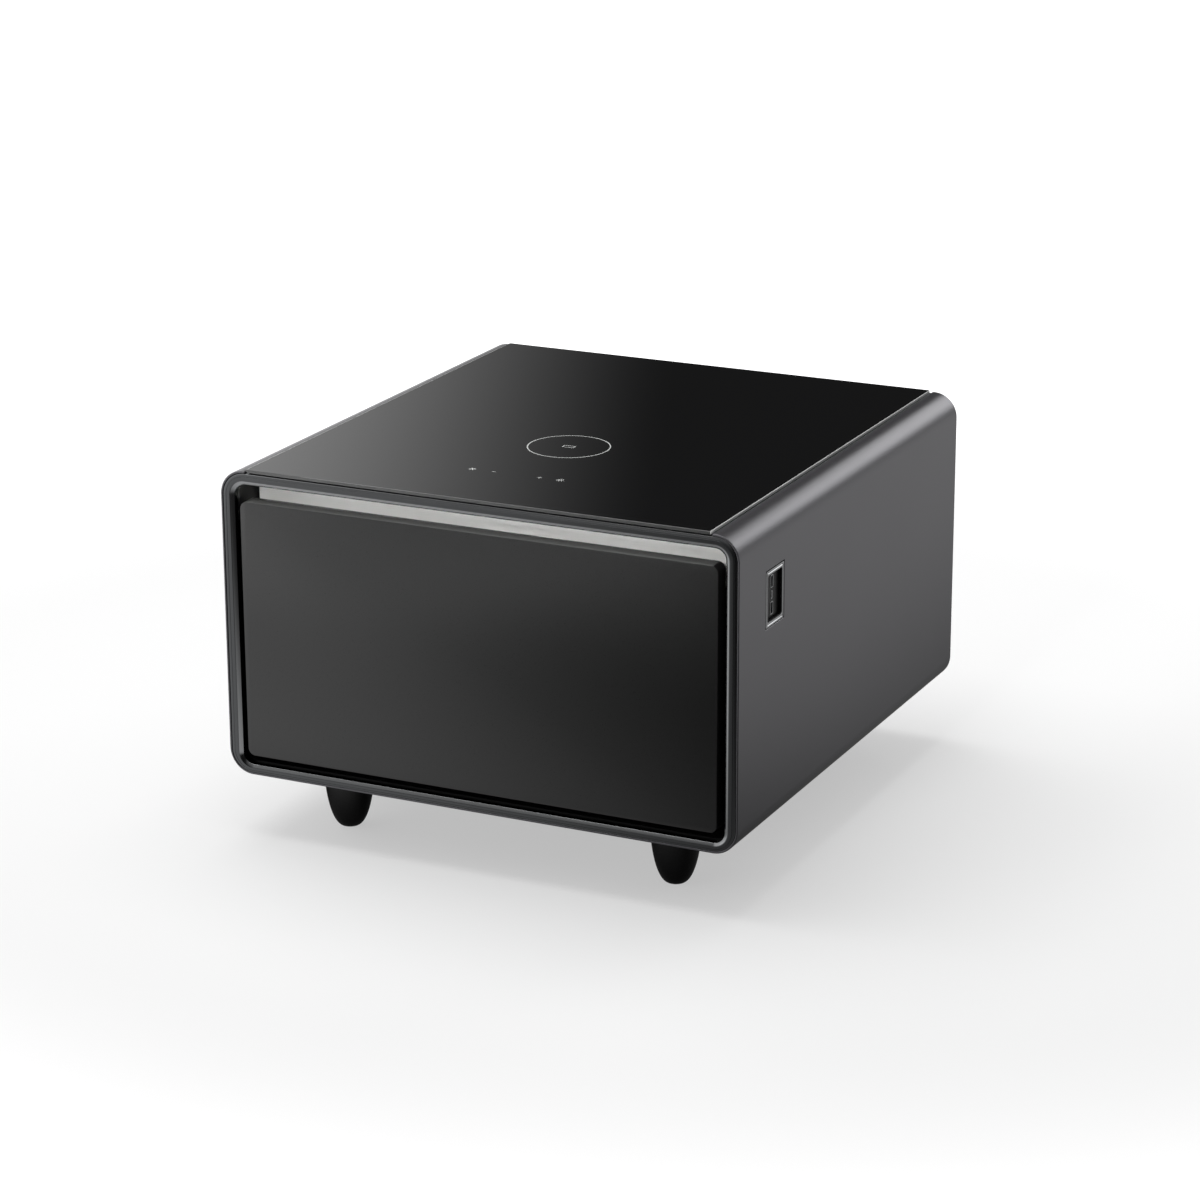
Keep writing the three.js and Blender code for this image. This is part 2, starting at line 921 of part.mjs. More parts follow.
// Moulded tub that hangs by its rim between the rails, tapering towards its floor
function drawerTub() {
  const front = frontY + railFront + railSheet + seatGap;
  const rear = frontY + cavityRear - tubRearGap;
  const outline = (halfWidth, inset) => ({
    left: -halfWidth,
    right: halfWidth,
    low: front + inset,
    high: rear - inset,
    radius: tubCorner,
  });
  const rim = outline(railOuter, 0);
  const neck = outline(railInner - seatGap - tubWall / 2, tubWall);
  const base = grown(neck, -tubDraft);
  const floor = cavity.low + tubFloorGap;
  const top = cavity.high - tubTopGap;
  return loft([
    [base, floor],
    [neck, top - tubRim],
    [rim, top - tubRim],
    [rim, top],
    [grown(neck, -tubWall), top],
    [grown(base, -tubWall), floor + tubWall],
  ]);
}

// Foot: a quarter ellipse turned about its axis, with a bore for its stud
function foot() {
  const bulge = footTopRadius - footTipRadius;
  const points = [new THREE.Vector2(0, 0)];
  for (let ringStep = 0; ringStep <= footRings; ringStep += 1) {
    const angle = ringStep / footRings * Math.PI / 2;
    const height = (footHeight - seatGap) * (1 - Math.cos(angle));
    points.push(new THREE.Vector2(footTipRadius + bulge * Math.sin(angle), height));
  }
  points.push(new THREE.Vector2(studHole, footHeight - seatGap));
  points.push(new THREE.Vector2(studHole, footHeight - studInFoot));
  points.push(new THREE.Vector2(0, footHeight - studInFoot));
  return outward(weld(new THREE.LatheGeometry(points, footSteps)).rotateX(Math.PI / 2));
}

function footStud() {
  const low = footHeight - studInFoot + seatGap;
  const high = footHeight + shellWall + studAbove;
  const nutLow = footHeight + shellWall + seatGap;
  const shank = round(studRadius, high - low, studSides);
  const nut = round(nutRadius, nutThick, nutSides);
  shank.rotateX(Math.PI / 2).translate(0, 0, (low + high) / 2);
  nut.rotateX(Math.PI / 2).translate(0, 0, nutLow + nutThick / 2);
  return join(shank, nut);
}

// Charging socket, drawn in its own frame: x towards the rear, y up, z out of the side
const socketOpening = {
  left: -socketOpenWidth / 2,
  right: socketOpenWidth / 2,
  low: -socketOpenHeight / 2,
  high: socketOpenHeight / 2,
  radius: socketCorner,
};
const ports = [
  ['usb_port_upper', portPitch, portAWidth, portAHeight, portATongue],
  ['usb_port_middle', 0, portCWidth, portCHeight, portCTongue],
  ['usb_port_lower', -portPitch, portAWidth, portAHeight, portATongue],
];
const portFront = seatGap - housingFace;

function centred(width, height, radius, middle = 0) {
  return {
    left: -width / 2,
    right: width / 2,
    low: middle - height / 2,
    high: middle + height / 2,
    radius,
  };
}

function socketBezel() {
  const outer = centred(socketWidth, socketHeight, socketCorner);
  return ring([
    [outer, -bezelDeep],
    [outer, -bezelEdge],
    [grown(outer, -bezelEdge), 0],
    [grown(socketOpening, bezelEdge), 0],
    [socketOpening, -bezelEdge],
    [socketOpening, -bezelDeep],
  ]);
}

function socketHousing() {
  const outer = grown(socketOpening, housingWall);
  const face = -bezelDeep - seatGap;
  const tray = loft([
    [outer, -housingFace - housingWall],
    [outer, face],
    [socketOpening, face],
    [socketOpening, -housingFace],
  ]);
  return cut(tray, ...ports.map(([, middle, width, height]) => {
    const hole = grown(centred(width, height, portCorner, middle), seatGap);
    return loft([
      [hole, -housingFace - housingWall - cutOver],
      [hole, -housingFace + cutOver],
    ], 2);
  }));
}

function usbPort(middle, width, height, [tongueThick, tongueTall]) {
  const outer = centred(width, height, portCorner, middle);
  const inner = grown(outer, -portWall);
  const back = portFront - portDeep;
  const shell = loft([
    [outer, back],
    [outer, portFront],
    [inner, portFront],
    [inner, back + portWall],
  ], 2);
  const tongue = block(
    [-tongueThick / 2, tongueThick / 2],
    [middle - tongueTall / 2, middle + tongueTall / 2],
    [back + portWall / 2, back + tongueDeep],
  );
  return join(shell, tongue);
}

function socketBoard() {
  const front = portFront - portDeep - seatGap;
  return block(
    [-socketOpenWidth / 2, socketOpenWidth / 2],
    [-socketOpenHeight / 2, socketOpenHeight / 2],
    [front - socketBoardThick, front],
  );
}

// Electronics under the glass
function touchBoard() {
  const middle = -touchRowFromFront;
  const board = block(
    [-touchRowWidth / 2, touchRowWidth / 2],
    [recessFloor - touchBoardThick / 2, recessFloor],
    [middle - touchBoardDeep / 2, middle + touchBoardDeep / 2],
  );
  const chips = touchChipShares.map(([at, width]) => block(
    [touchRowWidth * (at - width / 2), touchRowWidth * (at + width / 2)],
    [recessFloor - touchBoardThick, recessFloor - touchBoardThick / 4],
    [middle - touchBoardDeep / 4, middle + touchBoardDeep / 4],
  ));
  return join(board, ...chips);
}

// Flat copper coil with an open eye, glued to its ferrite disc
function chargingCoil() {
  const points = [
    [coilBore, 0],
    [coilRadius, 0],
    [coilRadius, -coilThick],
    [coilRadius + coilThick / 2, -coilThick],
    [coilRadius + coilThick / 2, -coilThick * 1.5],
    [coilBore, -coilThick * 1.5],
    [coilBore, 0],
  ].map(([x, y]) => new THREE.Vector2(x, y));
  const coil = outward(weld(new THREE.LatheGeometry(points, footSteps)));
  return coil.translate(0, recessFloor, -chargeFromFront);
}

// Rear of the cooled compartment
const condenserX = condenserFromFoot - footX;
const fanX = condenserX + fanBeside;
const compressorX = fanX + compressorBeside;
const pipeX = compressorX + stubAcross;
const pipeZ = cavity.high - pipeDrop;

function pipeHole() {
  const length = linerWall + foamRear + cutOver * 2;
  const hole = round(pipeHoleRadius, length, studSides);
  return hole.rotateX(Math.PI / 2).translate(pipeX, pipeZ, -cavityRear + cutOver - length / 2);
}

function tube(points, radius, steps) {
  const places = points.map((place) => new THREE.Vector3(...place));
  const path = new THREE.CatmullRomCurve3(places, false, 'centripetal');
  const circle = new THREE.Shape();
  for (let i = 0; i < pipeSides; i += 1) {
    const angle = i / pipeSides * Math.PI * 2;
    const place = [radius * Math.cos(angle), radius * Math.sin(angle)];
    if (i === 0) {
      circle.moveTo(...place);
    } else {
      circle.lineTo(...place);
    }
  }
  circle.closePath();
  return outward(weld(new THREE.ExtrudeGeometry(circle, { steps, extrudePath: path })));
}

// A tube that runs to and fro: the passes lie along the first axis, stacked on the second
function passes(count, low, high, first, pitch) {
  const points = [];
  const bend = pitch / 2;
  for (let i = 0; i < count; i += 1) {
    const level = first + i * pitch;
    const ends = i % 2 === 0 ? [low, high] : [high, low];
    const turn = i % 2 === 0 ? bend : -bend;
    points.push([ends[0], level], [(ends[0] + ends[1]) / 2, level], [ends[1], level]);
    if (i < count - 1) {
      points.push([ends[1] + turn, level + bend]);
    }
  }
  return points;
}

// Aluminium plate with its tube raised on the front, and an outlet through the wall
function evaporator() {
  const back = -cavityRear + seatGap;
  const half = cavity.right - evaporatorSideInset;
  const low = cavity.low + evaporatorLift;
  const sheet = block(
    [-half, half],
    [low, pipeZ + evaporatorMargin],
    [back, back + evaporatorSheet],
  );
  const pitch = (pipeZ - low - evaporatorMargin) / (evaporatorPasses - 1);
  const reach = half - evaporatorMargin - pitch / 2;
  const route = passes(evaporatorPasses, -reach, reach, low + evaporatorMargin, pitch);
  const level = back + pipeRadius;
  const raised = tube(route.map(([x, y]) => [x, y, level]), pipeRadius, evaporatorSteps);
  const outlet = round(pipeRadius, pipeHoleRadius * 2, pipeSides);
  outlet.rotateX(Math.PI / 2).translate(pipeX, pipeZ, back - pipeHoleRadius + evaporatorSheet);
  return join(sheet, raised, outlet);
}

function temperatureProbe() {
  const back = -cavityRear + seatGap;
  const x = -cavity.right + probeInset;
  const clip = block(
    [x - probeRadius, x + probeRadius],
    [pipeZ - probeLength / 4, pipeZ + probeLength / 4],
    [back, back + probeRadius * 2],
  );
  const bulb = round(probeRadius, probeLength, studSides).translate(x, pipeZ, back + probeRadius * 2);
  return join(clip, bulb);
}

// Rear compartment: louvred panel, base tray, compressor, fan, condenser and board
const rearDepth = bodyDepth - rearPanelInset;
const trayBase = shellInside.low + seatGap;
const trayTop = trayBase + trayWall;
const standing = trayTop + seatGap;
const bayFront = frontY + foamBack + seatGap;
const bayRear = frontY + rearDepth - rearPanelRim - seatGap;
const bayY = footRearY;
const inletX = inletFromSide - bodyHalf;
const inletZ = bodyBottom + inletRise;

function rearPanel() {
  const inside = grown(foamOutline, -rearPanelWall);
  const outside = -rearDepth;
  let panelBody = loft([
    [inside, outside + rearPanelWall],
    [inside, outside + rearPanelRim],
    [foamOutline, outside + rearPanelRim],
    [foamOutline, outside + rearPanelWall / 2],
    [grown(foamOutline, -rearPanelWall / 2), outside],
  ]);
  const through = [outside - cutOver, outside + rearPanelWall + cutOver];
  const slots = [];
  const hoods = [];
  for (const side of louvreSides) {
    const ends = [side * louvreBetween / 2, side * (bodyHalf - louvreSideInset)];
    const x = [Math.min(...ends), Math.max(...ends)];
    for (let row = 0; row < louvreRows; row += 1) {
      const top = bodyTop - louvreDrop - row * louvrePitch;
      slots.push(block(x, [top - louvreHeight, top], through));
      hoods.push(louvreHood(x, top, outside));
    }
  }
  slots.push(block(
    [inletX - inletWidth / 2 - seatGap, inletX + inletWidth / 2 + seatGap],
    [inletZ - inletHeight / 2 - seatGap, inletZ + inletHeight / 2 + seatGap],
    through,
  ));
  panelBody = cut(panelBody, ...slots);
  return join(panelBody, ...hoods);
}

// A pressed hood that starts above its slot and leans out over it
function louvreHood(x, top, outside) {
  const root = outside + rearPanelWall / 2;
  const out = outside - louvreOut;
  const low = top - louvreHeight / 2;
  const points = [
    [root, top + louvreSheet],
    [outside - louvreOut / 2, top + louvreSheet / 2],
    [out, low],
    [out, low - louvreSheet],
    [out + louvreSheet, low - louvreSheet],
    [out + louvreSheet, low],
    [outside - louvreOut / 2 + louvreSheet, top - louvreSheet / 2],
    [root, top - louvreSheet / 4],
  ];
  const hood = pushed(points, 0, x[1] - x[0]);
  hood.applyMatrix4(new THREE.Matrix4().set(
    0, 0, 1, x[0],
    0, 1, 0, 0,
    1, 0, 0, 0,
    0, 0, 0, 1,
  ));
  return outward(weld(hood));
}

// Mains inlet: a flanged socket with three pins, sunk through the rear panel
function powerInlet() {
  const body = centred(inletWidth, inletHeight, inletCorner, inletZ);
  body.left += inletX;
  body.right += inletX;
  const flange = grown(body, inletFlange);
  const hole = grown(body, -inletWall);
  const face = -rearDepth - seatGap;
  const outer = face - inletFlangeThick;
  const inner = outer + inletDeep;
  const shell = loft([
    [body, inner],
    [body, face],
    [flange, face],
    [flange, outer],
    [hole, outer],
    [hole, inner - inletWall],
  ], 2);
  const pins = inletPinShares.map(([across, up]) => block(
    [inletX + across * inletWidth - inletPin / 4, inletX + across * inletWidth + inletPin / 4],
    [inletZ + up * inletHeight - inletPin / 2, inletZ + up * inletHeight + inletPin / 2],
    [outer + inletWall, inner - inletWall / 2],
  ));
  return join(shell, ...pins);
}

function baseTray() {
  const outline = {
    left: traySideGap - bodyHalf,
    right: bodyHalf - traySideGap,
    low: bayFront,
    high: bayRear,
    radius: trayCorner,
  };
  const inside = grown(outline, -trayWall);
  const tray = loft([
    [outline, trayBase],
    [outline, trayBase + trayLip],
    [inside, trayBase + trayLip],
    [inside, trayTop],
  ]);
  return cut(tray, ...footPlaces.filter(([, , y]) => y > 0).map(([, x, y]) => {
    const hole = round(nutRadius + trayWall, trayWall + cutOver * 2, studSides);
    return hole.rotateX(Math.PI / 2).translate(x, y, trayBase + trayWall / 2);
  }));
}

// Pressed steel can with its weld seam, base plate and two pipe stubs
function compressor() {
  const low = standing + grommetHeight + seatGap;
  const profile = canShares.map(([radius, height]) => (
    new THREE.Vector2(radius * canRadius, height * canHeight)
  ));
  const can = outward(weld(new THREE.LatheGeometry(profile, footSteps)).rotateX(Math.PI / 2));
  can.translate(compressorX, bayY, low);
  const plate = block(
    [compressorX - plateWidth / 2, compressorX + plateWidth / 2],
    [bayY - plateDeep / 2, bayY + plateDeep / 2],
    [low, low + plateSheet],
  );
  const stubs = [-stubAcross, stubAcross].map((x) => {
    const stub = round(pipeRadius, stubHeight, pipeSides).rotateX(Math.PI / 2);
    return stub.translate(compressorX + x, bayY, low + canHeight + stubHeight / 2 - stubSunk);
  });
  return join(can, plate, ...stubs);
}

const compressorTop = standing + grommetHeight + seatGap + canHeight + stubHeight - stubSunk;

function grommet(x, y) {
  const waist = grommetRadius * grommetWaistShare;
  const profile = [
    [0, 0],
    [grommetRadius, 0],
    [grommetRadius, grommetHeight / 3],
    [waist, grommetHeight / 2],
    [grommetRadius, grommetHeight * 2 / 3],
    [grommetRadius, grommetHeight],
    [0, grommetHeight],
  ].map(([radius, height]) => new THREE.Vector2(radius, height));
  const rubber = outward(weld(new THREE.LatheGeometry(profile, studSides)).rotateX(Math.PI / 2));
  return rubber.translate(x, y, standing);
}

function startRelay() {
  const low = compressorX + canRadius * canSeamShare + seatGap;
  const height = standing + grommetHeight + canHeight * relayShare;
  return block(
    [low, low + relayDeep],
    [bayY - relayWidth / 2, bayY + relayWidth / 2],
    [height, height + relayTall],
  );
}

// Fan, drawn about its own axis: z points along the air flow
function fanFrame() {
  const half = fanSize / 2;
  const box = loft([
    [centred(fanSize, fanSize, fanCorner), -fanThick / 2],
    [centred(fanSize, fanSize, fanCorner), fanThick / 2],
  ], 3);
  const bore = round(fanBore, fanThick + cutOver, footSteps).rotateX(Math.PI / 2);
  const low = -fanThick / 2;
  const struts = [0, 1, 2].map((i) => {
    const strut = block(
      [-strutWidth / 2, strutWidth / 2],
      [0, (fanBore + half) / 2],
      [low, low + strutThick],
    );
    return strut.rotateZ(i / 3 * Math.PI * 2);
  });
  const hub = round(motorRadius + strutWidth / 2, strutThick, footSteps).rotateX(Math.PI / 2);
  hub.translate(0, 0, low + strutThick / 2);
  const holes = [[-1, -1], [-1, 1], [1, -1], [1, 1]].map(([a, b]) => {
    const hole = round(fanHole, fanThick + cutOver, screwSides).rotateX(Math.PI / 2);
    return hole.translate(a * (half - fanHoleInset), b * (half - fanHoleInset), 0);
  });
  return join(cut(box, bore, ...holes), hub, ...struts);
}

function fanMotor() {
  const low = -fanThick / 2 + strutThick + seatGap;
  const stator = round(motorRadius, motorLength, footSteps).rotateX(Math.PI / 2);
  const shaft = round(shaftRadius, shaftLength, studSides).rotateX(Math.PI / 2);
  stator.translate(0, 0, low + motorLength / 2);
  shaft.translate(0, 0, low + motorLength + shaftLength / 2 - seatGap);
  return join(stator, shaft);
}

// Rotor cup that runs round the motor on its shaft, with cambered blades
function fanRotor() {
  const motorTop = -fanThick / 2 + strutThick + seatGap + motorLength;
  const shaftTop = motorTop + shaftLength - seatGap;
  const top = shaftTop + seatGap + hubWall;
  const inside = motorRadius + rotorClearance;
  const bore = shaftRadius + seatGap;
  const profile = [
    [0, top],
    [inside + hubWall, top],
    [inside + hubWall, motorTop - motorLength * hubShare],
    [inside, motorTop - motorLength * hubShare],
    [inside, top - hubWall],
    [bore + hubWall, top - hubWall],
    [bore + hubWall, motorTop + rotorClearance],
    [bore, motorTop + rotorClearance],
    [bore, shaftTop + seatGap],
    [0, shaftTop + seatGap],
  ].map(([radius, height]) => new THREE.Vector2(radius, height));
  const hub = outward(weld(new THREE.LatheGeometry(profile, footSteps)).rotateX(Math.PI / 2));
  const middle = (top + motorTop - motorLength * hubShare) / 2;
  const blades = [];
  for (let i = 0; i < bladeCount; i += 1) {
    const blade = fanBlade(inside + hubWall / 3).translate(0, 0, middle);
    blades.push(blade.rotateZ(i / bladeCount * Math.PI * 2));
  }
  return join(hub, ...blades);
}

// One blade: a thin cambered section that widens and flattens towards the tip
function fanBlade(root) {
  const stations = bladeShares.map(([along, chord, degrees]) => {
    const angle = degrees / 180 * Math.PI;
    const half = chord * bladeChord / 2;
    const flat = [
      [-half, 0],
      [0, bladeCamber],
      [half, 0],
      [half, bladeThick],
      [0, bladeCamber + bladeThick],
      [-half, bladeThick],
    ];
    const points = flat.map(([x, y]) => [
      x * Math.cos(angle) - y * Math.sin(angle),
      x * Math.sin(angle) + y * Math.cos(angle),
    ]);
    return { points, at: root + along * (fanBore - bladeTipGap - root) };
  });
  const blade = surface(stations, false);
  return blade.applyMatrix4(new THREE.Matrix4().set(
    1, 0, 0, 0,
    0, 0, -1, 0,
    0, 1, 0, 0,
    0, 0, 0, 1,
  ));
}

// Condenser: one tube in two upright rows, through shared fins
const leadY = bayY - condenserWidth / 2 - condenserPitch / 2;
const leadTop = standing + condenserPitch * (condenserFootShare + condenserPasses + 0.5);

function condenser() {
  const half = condenserWidth / 2;
  const low = standing + condenserPitch * condenserFootShare;
  const route = passes(condenserPasses, -half, half, low, condenserPitch);
  const near = condenserX + condenserRow / 2;
  const far = condenserX - condenserRow / 2;
  const up = route.map(([y, z]) => [near, bayY - y, z]);
  const back = route.map(([y, z]) => [far, bayY - y, z]);
  const lead = (x) => [
    [x, leadY, leadTop],
    [x, leadY, leadTop - condenserPitch],
  ];
  const cross = [condenserX, bayY + half + condenserPitch / 2, low];
  const path = [...lead(near), ...up.reverse(), cross, ...back, ...lead(far).reverse()];
  const coil = tube(path, pipeRadius, condenserSteps);
  const fins = finShares.map((share) => block(
    [far - condenserRow / 2, near + condenserRow / 2],
    [bayY + share * condenserWidth - finSheet / 2, bayY + share * condenserWidth + finSheet / 2],
    [standing, low + condenserPitch * (condenserPasses - 0.5)],
  ));
  return join(coil, ...fins);
}

// Hot pipe from the compressor, over the fan, down to the condenser
function dischargePipe() {
  const from = [compressorX - stubAcross, bayY, compressorTop + seatGap];
  const to = [condenserX + condenserRow / 2, leadY, leadTop + seatGap];
  const level = from[2] + pipeRise;
  return tube([
    from,
    [from[0], from[1], from[2] + pipeRise / 2],
    [from[0] - pipeRise, (from[1] * 2 + to[1]) / 3, level],
    [to[0] + pipeRise, (from[1] + to[1] * 2) / 3, level],
    [to[0], to[1], level - pipeRise],
    [to[0], to[1], to[2] + pipeRise / 2],
    to,
  ], pipeRadius, pipeSteps);
}

// Cold pipe from the evaporator's outlet, through the foam, down to the compressor
function suctionPipe() {
  const start = frontY + cavityRear + pipeHoleRadius * 2 - evaporatorSheet;
  const bend = (pipeZ - compressorTop) * pipeBendShare;
  return tube([
    [pipeX, start, pipeZ],
    [pipeX, (start + bayFront) / 2, pipeZ],
    [pipeX, bayFront, pipeZ],
    [pipeX, bayY - bend, pipeZ],
    [pipeX, bayY, pipeZ - bend],
    [pipeX, bayY, (pipeZ - bend + compressorTop) / 2],
    [pipeX, bayY, compressorTop + seatGap],
  ], pipeRadius, pipeSteps);
}

// Power board on the foam wall, in its own tray
const boardX = boardFromSide - bodyHalf;
const boardZ = bodyTop - boardDrop;
const boardOutline = {
  left: boardX - boardTrayWidth / 2,
  right: boardX + boardTrayWidth / 2,
  low: boardZ - boardTrayHeight / 2,
  high: boardZ + boardTrayHeight / 2,
  radius: boardTrayWall * 2,
};

function boardTray() {
  const front = -foamBack - seatGap;
  const inside = grown(boardOutline, -boardTrayWall);
  return loft([
    [boardOutline, front],
    [boardOutline, front - boardTrayDeep],
    [inside, front - boardTrayDeep],
    [inside, front - boardTrayWall],
  ], 2);
}

function powerBoard() {
  const face = -foamBack - boardTrayWall - seatGap * 2;
  const width = boardTrayWidth - boardTrayWall * 4;
  const height = boardTrayHeight - boardTrayWall * 4;
  const board = block(
    [boardX - width / 2, boardX + width / 2],
    [boardZ - height / 2, boardZ + height / 2],
    [face - boardThick, face],
  );
  const parts = boardPartShares.map(([x, y, wide, tall, out]) => block(
    [boardX + (x - wide / 2) * width, boardX + (x + wide / 2) * width],
    [boardZ + (y - tall / 2) * height, boardZ + (y + tall / 2) * height],
    [face - out * boardTrayDeep, face - boardThick / 2],
  ));
  return join(board, ...parts);
}

// Assembly
piece('outer_shell', outerShell(), 'shell', facing);
piece('front_frame', frontFrame(), 'frame', facing);
piece('mouth_surround', mouthSurround(), 'blackPlastic', facing);
piece('mouth_header', mouthHeader(), 'blackPlastic', facing);
piece('glass_top', glassTop(), 'glass');
piece('touch_board', touchBoard(), 'circuit', facing);
piece('charging_coil', chargingCoil(), 'copper', facing);
piece('inner_liner', innerLiner(), 'whitePlastic', facing);
piece('insulation', insulation(), 'foam', facing);
piece('evaporator', evaporator(), 'aluminium', facing);
piece('temperature_probe', temperatureProbe(), 'whitePlastic', facing);

piece('drawer_panel', drawerPanel(), 'panel', facing);
piece('door_core', doorCore(), 'foam', facing);
piece('pull_channel', pullChannel(), 'aluminium', facing);
piece('door_liner', doorLiner(), 'blackPlastic', facing);
piece('door_gasket', doorGasket(), 'rubber', facing);
piece('drawer_tub', drawerTub(), 'whitePlastic');

const outerCage = outerBack - slideSheet - (cageRoom - cageSheet) / 2;
const innerCage = middleBack - slideSheet - (cageRoom - cageSheet) / 2;
const outerRow = middleHalf + ballGap / 2;
const innerRow = innerHalf + ballGap / 2;
const slidePieces = [
  ['slide_outer', (side) => slideMember(side, outerBack, outerBack - outerReach, outerHalf)],
  ['slide_middle', (side) => slideMember(side, middleBack, middleBack - middleReach, middleHalf)],
  ['slide_inner', (side) => slideMember(side, innerBack, innerTip, innerHalf)],
  ['ball_cage_outer', (side) => ballCage(side, outerCage, outerCage - cageReach, outerRow)],
  ['ball_cage_inner', (side) => ballCage(side, innerCage, innerCage - cageReach, innerRow)],
  ['drawer_rail', drawerRail],
];
for (const [word, side] of [['left', -1], ['right', 1]]) {
  for (const [name, shaped] of slidePieces) {
    piece(`${name}_${word}`, shaped(side), 'zinc', facing);
  }
}

const socket = new THREE.Group();
socket.quaternion.setFromRotationMatrix(new THREE.Matrix4().makeBasis(
  new THREE.Vector3(0, 1, 0),
  new THREE.Vector3(0, 0, 1),
  new THREE.Vector3(1, 0, 0),
));
socket.position.set(bodyHalf, socketY, socketZ);
table.add(socket);
piece('socket_bezel', socketBezel(), 'frame', socket);
piece('socket_housing', socketHousing(), 'blackPlastic', socket);
piece('socket_board', socketBoard(), 'circuit', socket);
for (const [name, middle, width, height, tongue] of ports) {
  piece(name, usbPort(middle, width, height, tongue), 'zinc', socket);
}

for (const [place, x, y] of footPlaces) {
  piece(`foot_${place}`, foot(), 'glossPlastic').position.set(x, y, 0);
  piece(`foot_stud_${place}`, footStud(), 'zinc').position.set(x, y, 0);
}

piece('rear_panel', rearPanel(), 'blackSteel', facing);
piece('power_inlet', powerInlet(), 'blackPlastic', facing);
piece('base_tray', baseTray(), 'zinc');
piece('compressor', compressor(), 'blackSteel');
piece('start_relay', startRelay(), 'blackPlastic');
const grommetPlaces = [
  ['front_left', -grommetAcross, -grommetAlong],
  ['front_right', grommetAcross, -grommetAlong],
  ['rear_left', -grommetAcross, grommetAlong],
  ['rear_right', grommetAcross, grommetAlong],
];
for (const [place, x, y] of grommetPlaces) {
  piece(`grommet_${place}`, grommet(compressorX + x, bayY + y), 'rubber');
}
piece('condenser', condenser(), 'copper');
piece('discharge_pipe', dischargePipe(), 'copper');
piece('suction_pipe', suctionPipe(), 'copper');
piece('board_tray', boardTray(), 'whitePlastic', facing);
piece('power_board', powerBoard(), 'circuit', facing);

const fan = new THREE.Group();
fan.rotation.y = Math.PI / 2;
fan.position.set(fanX, bayY, standing + fanSize / 2);
table.add(fan);
piece('fan_frame', fanFrame(), 'blackPlastic', fan);
piece('fan_motor', fanMotor(), 'zinc', fan);
piece('fan_rotor', fanRotor(), 'blackPlastic', fan);

export default table;
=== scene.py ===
import json
import math

import bmesh
import bpy
from mathutils import Matrix, Vector


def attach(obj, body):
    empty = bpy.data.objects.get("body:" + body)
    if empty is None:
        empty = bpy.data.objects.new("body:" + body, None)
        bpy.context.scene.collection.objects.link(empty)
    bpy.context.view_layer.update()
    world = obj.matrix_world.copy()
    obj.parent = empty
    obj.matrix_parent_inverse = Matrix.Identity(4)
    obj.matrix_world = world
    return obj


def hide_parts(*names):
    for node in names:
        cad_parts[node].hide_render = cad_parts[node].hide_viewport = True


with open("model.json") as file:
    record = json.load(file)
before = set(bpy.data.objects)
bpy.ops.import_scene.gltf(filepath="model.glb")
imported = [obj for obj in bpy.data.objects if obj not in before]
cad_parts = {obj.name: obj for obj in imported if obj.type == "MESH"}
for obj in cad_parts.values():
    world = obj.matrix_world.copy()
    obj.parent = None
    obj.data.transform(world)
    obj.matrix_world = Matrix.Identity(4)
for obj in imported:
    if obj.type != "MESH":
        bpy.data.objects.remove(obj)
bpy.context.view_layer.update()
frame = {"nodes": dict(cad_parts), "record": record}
nodes = frame["nodes"]
scene = bpy.context.scene
print("frame loaded:", len(nodes), "nodes")


# Camera, as the photograph was taken
shot = {
    "place": (1.82411, -3.79839, 1.59065),
    "yaw": 25.69,
    "pitch": 17.83,
    "roll": -0.23,
    "lens": 110.1,
    "sensor": 36,
    "sightEnd": 60,
}


def addCamera(facts):
    data = bpy.data.cameras.new("shotCamera")
    data.lens = facts["lens"]
    data.sensor_width = facts["sensor"]
    data.clip_end = facts["sightEnd"]
    camera = bpy.data.objects.new("shotCamera", data)
    scene.collection.objects.link(camera)
    turn = (
        Matrix.Rotation(math.radians(facts["yaw"]), 4, "Z")
        @ Matrix.Rotation(math.radians(90 - facts["pitch"]), 4, "X")
        @ Matrix.Rotation(math.radians(facts["roll"]), 4, "Z")
    )
    camera.matrix_world = Matrix.Translation(facts["place"]) @ turn
    scene.camera = camera


addCamera(shot)
scene.view_settings.view_transform = "Standard"


# One socket of a shader node, so that sums on it read as plain Python
class Wire:
    def __init__(self, finish, socket):
        self.finish = finish
        self.socket = socket

    def sum(self, operation, *others):
        return self.finish.node("ShaderNodeMath", {"operation": operation}, (self, *others))

    def __add__(self, other):
        return self.sum("ADD", other)

    def __sub__(self, other):
        return self.sum("SUBTRACT", other)

    def __mul__(self, other):
        return self.sum("MULTIPLY", other)

    def __rsub__(self, other):
        return self.finish.node("ShaderNodeMath", {"operation": "SUBTRACT"}, (other, self))

    def __lt__(self, other):
        return self.sum("LESS_THAN", other)

    def __gt__(self, other):
        return self.sum("GREATER_THAN", other)

    __radd__ = __add__
    __rmul__ = __mul__

    def size(self):
        return self.sum("ABSOLUTE")

    def most(self, other):
        return self.sum("MAXIMUM", other)

    def least(self, other):
        return self.sum("MINIMUM", other)

    def root(self):
        return self.sum("SQRT")

    def held(self):  # kept between 0 and 1
        return self.finish.node("ShaderNodeClamp", {}, (self,))

    def band(self, low, high):  # 0 at low, 1 at high, smooth between
        values = {"Value": self, "From Min": low, "From Max": high}
        return self.finish.node("ShaderNodeMapRange", {"interpolation_type": "SMOOTHSTEP"}, values)


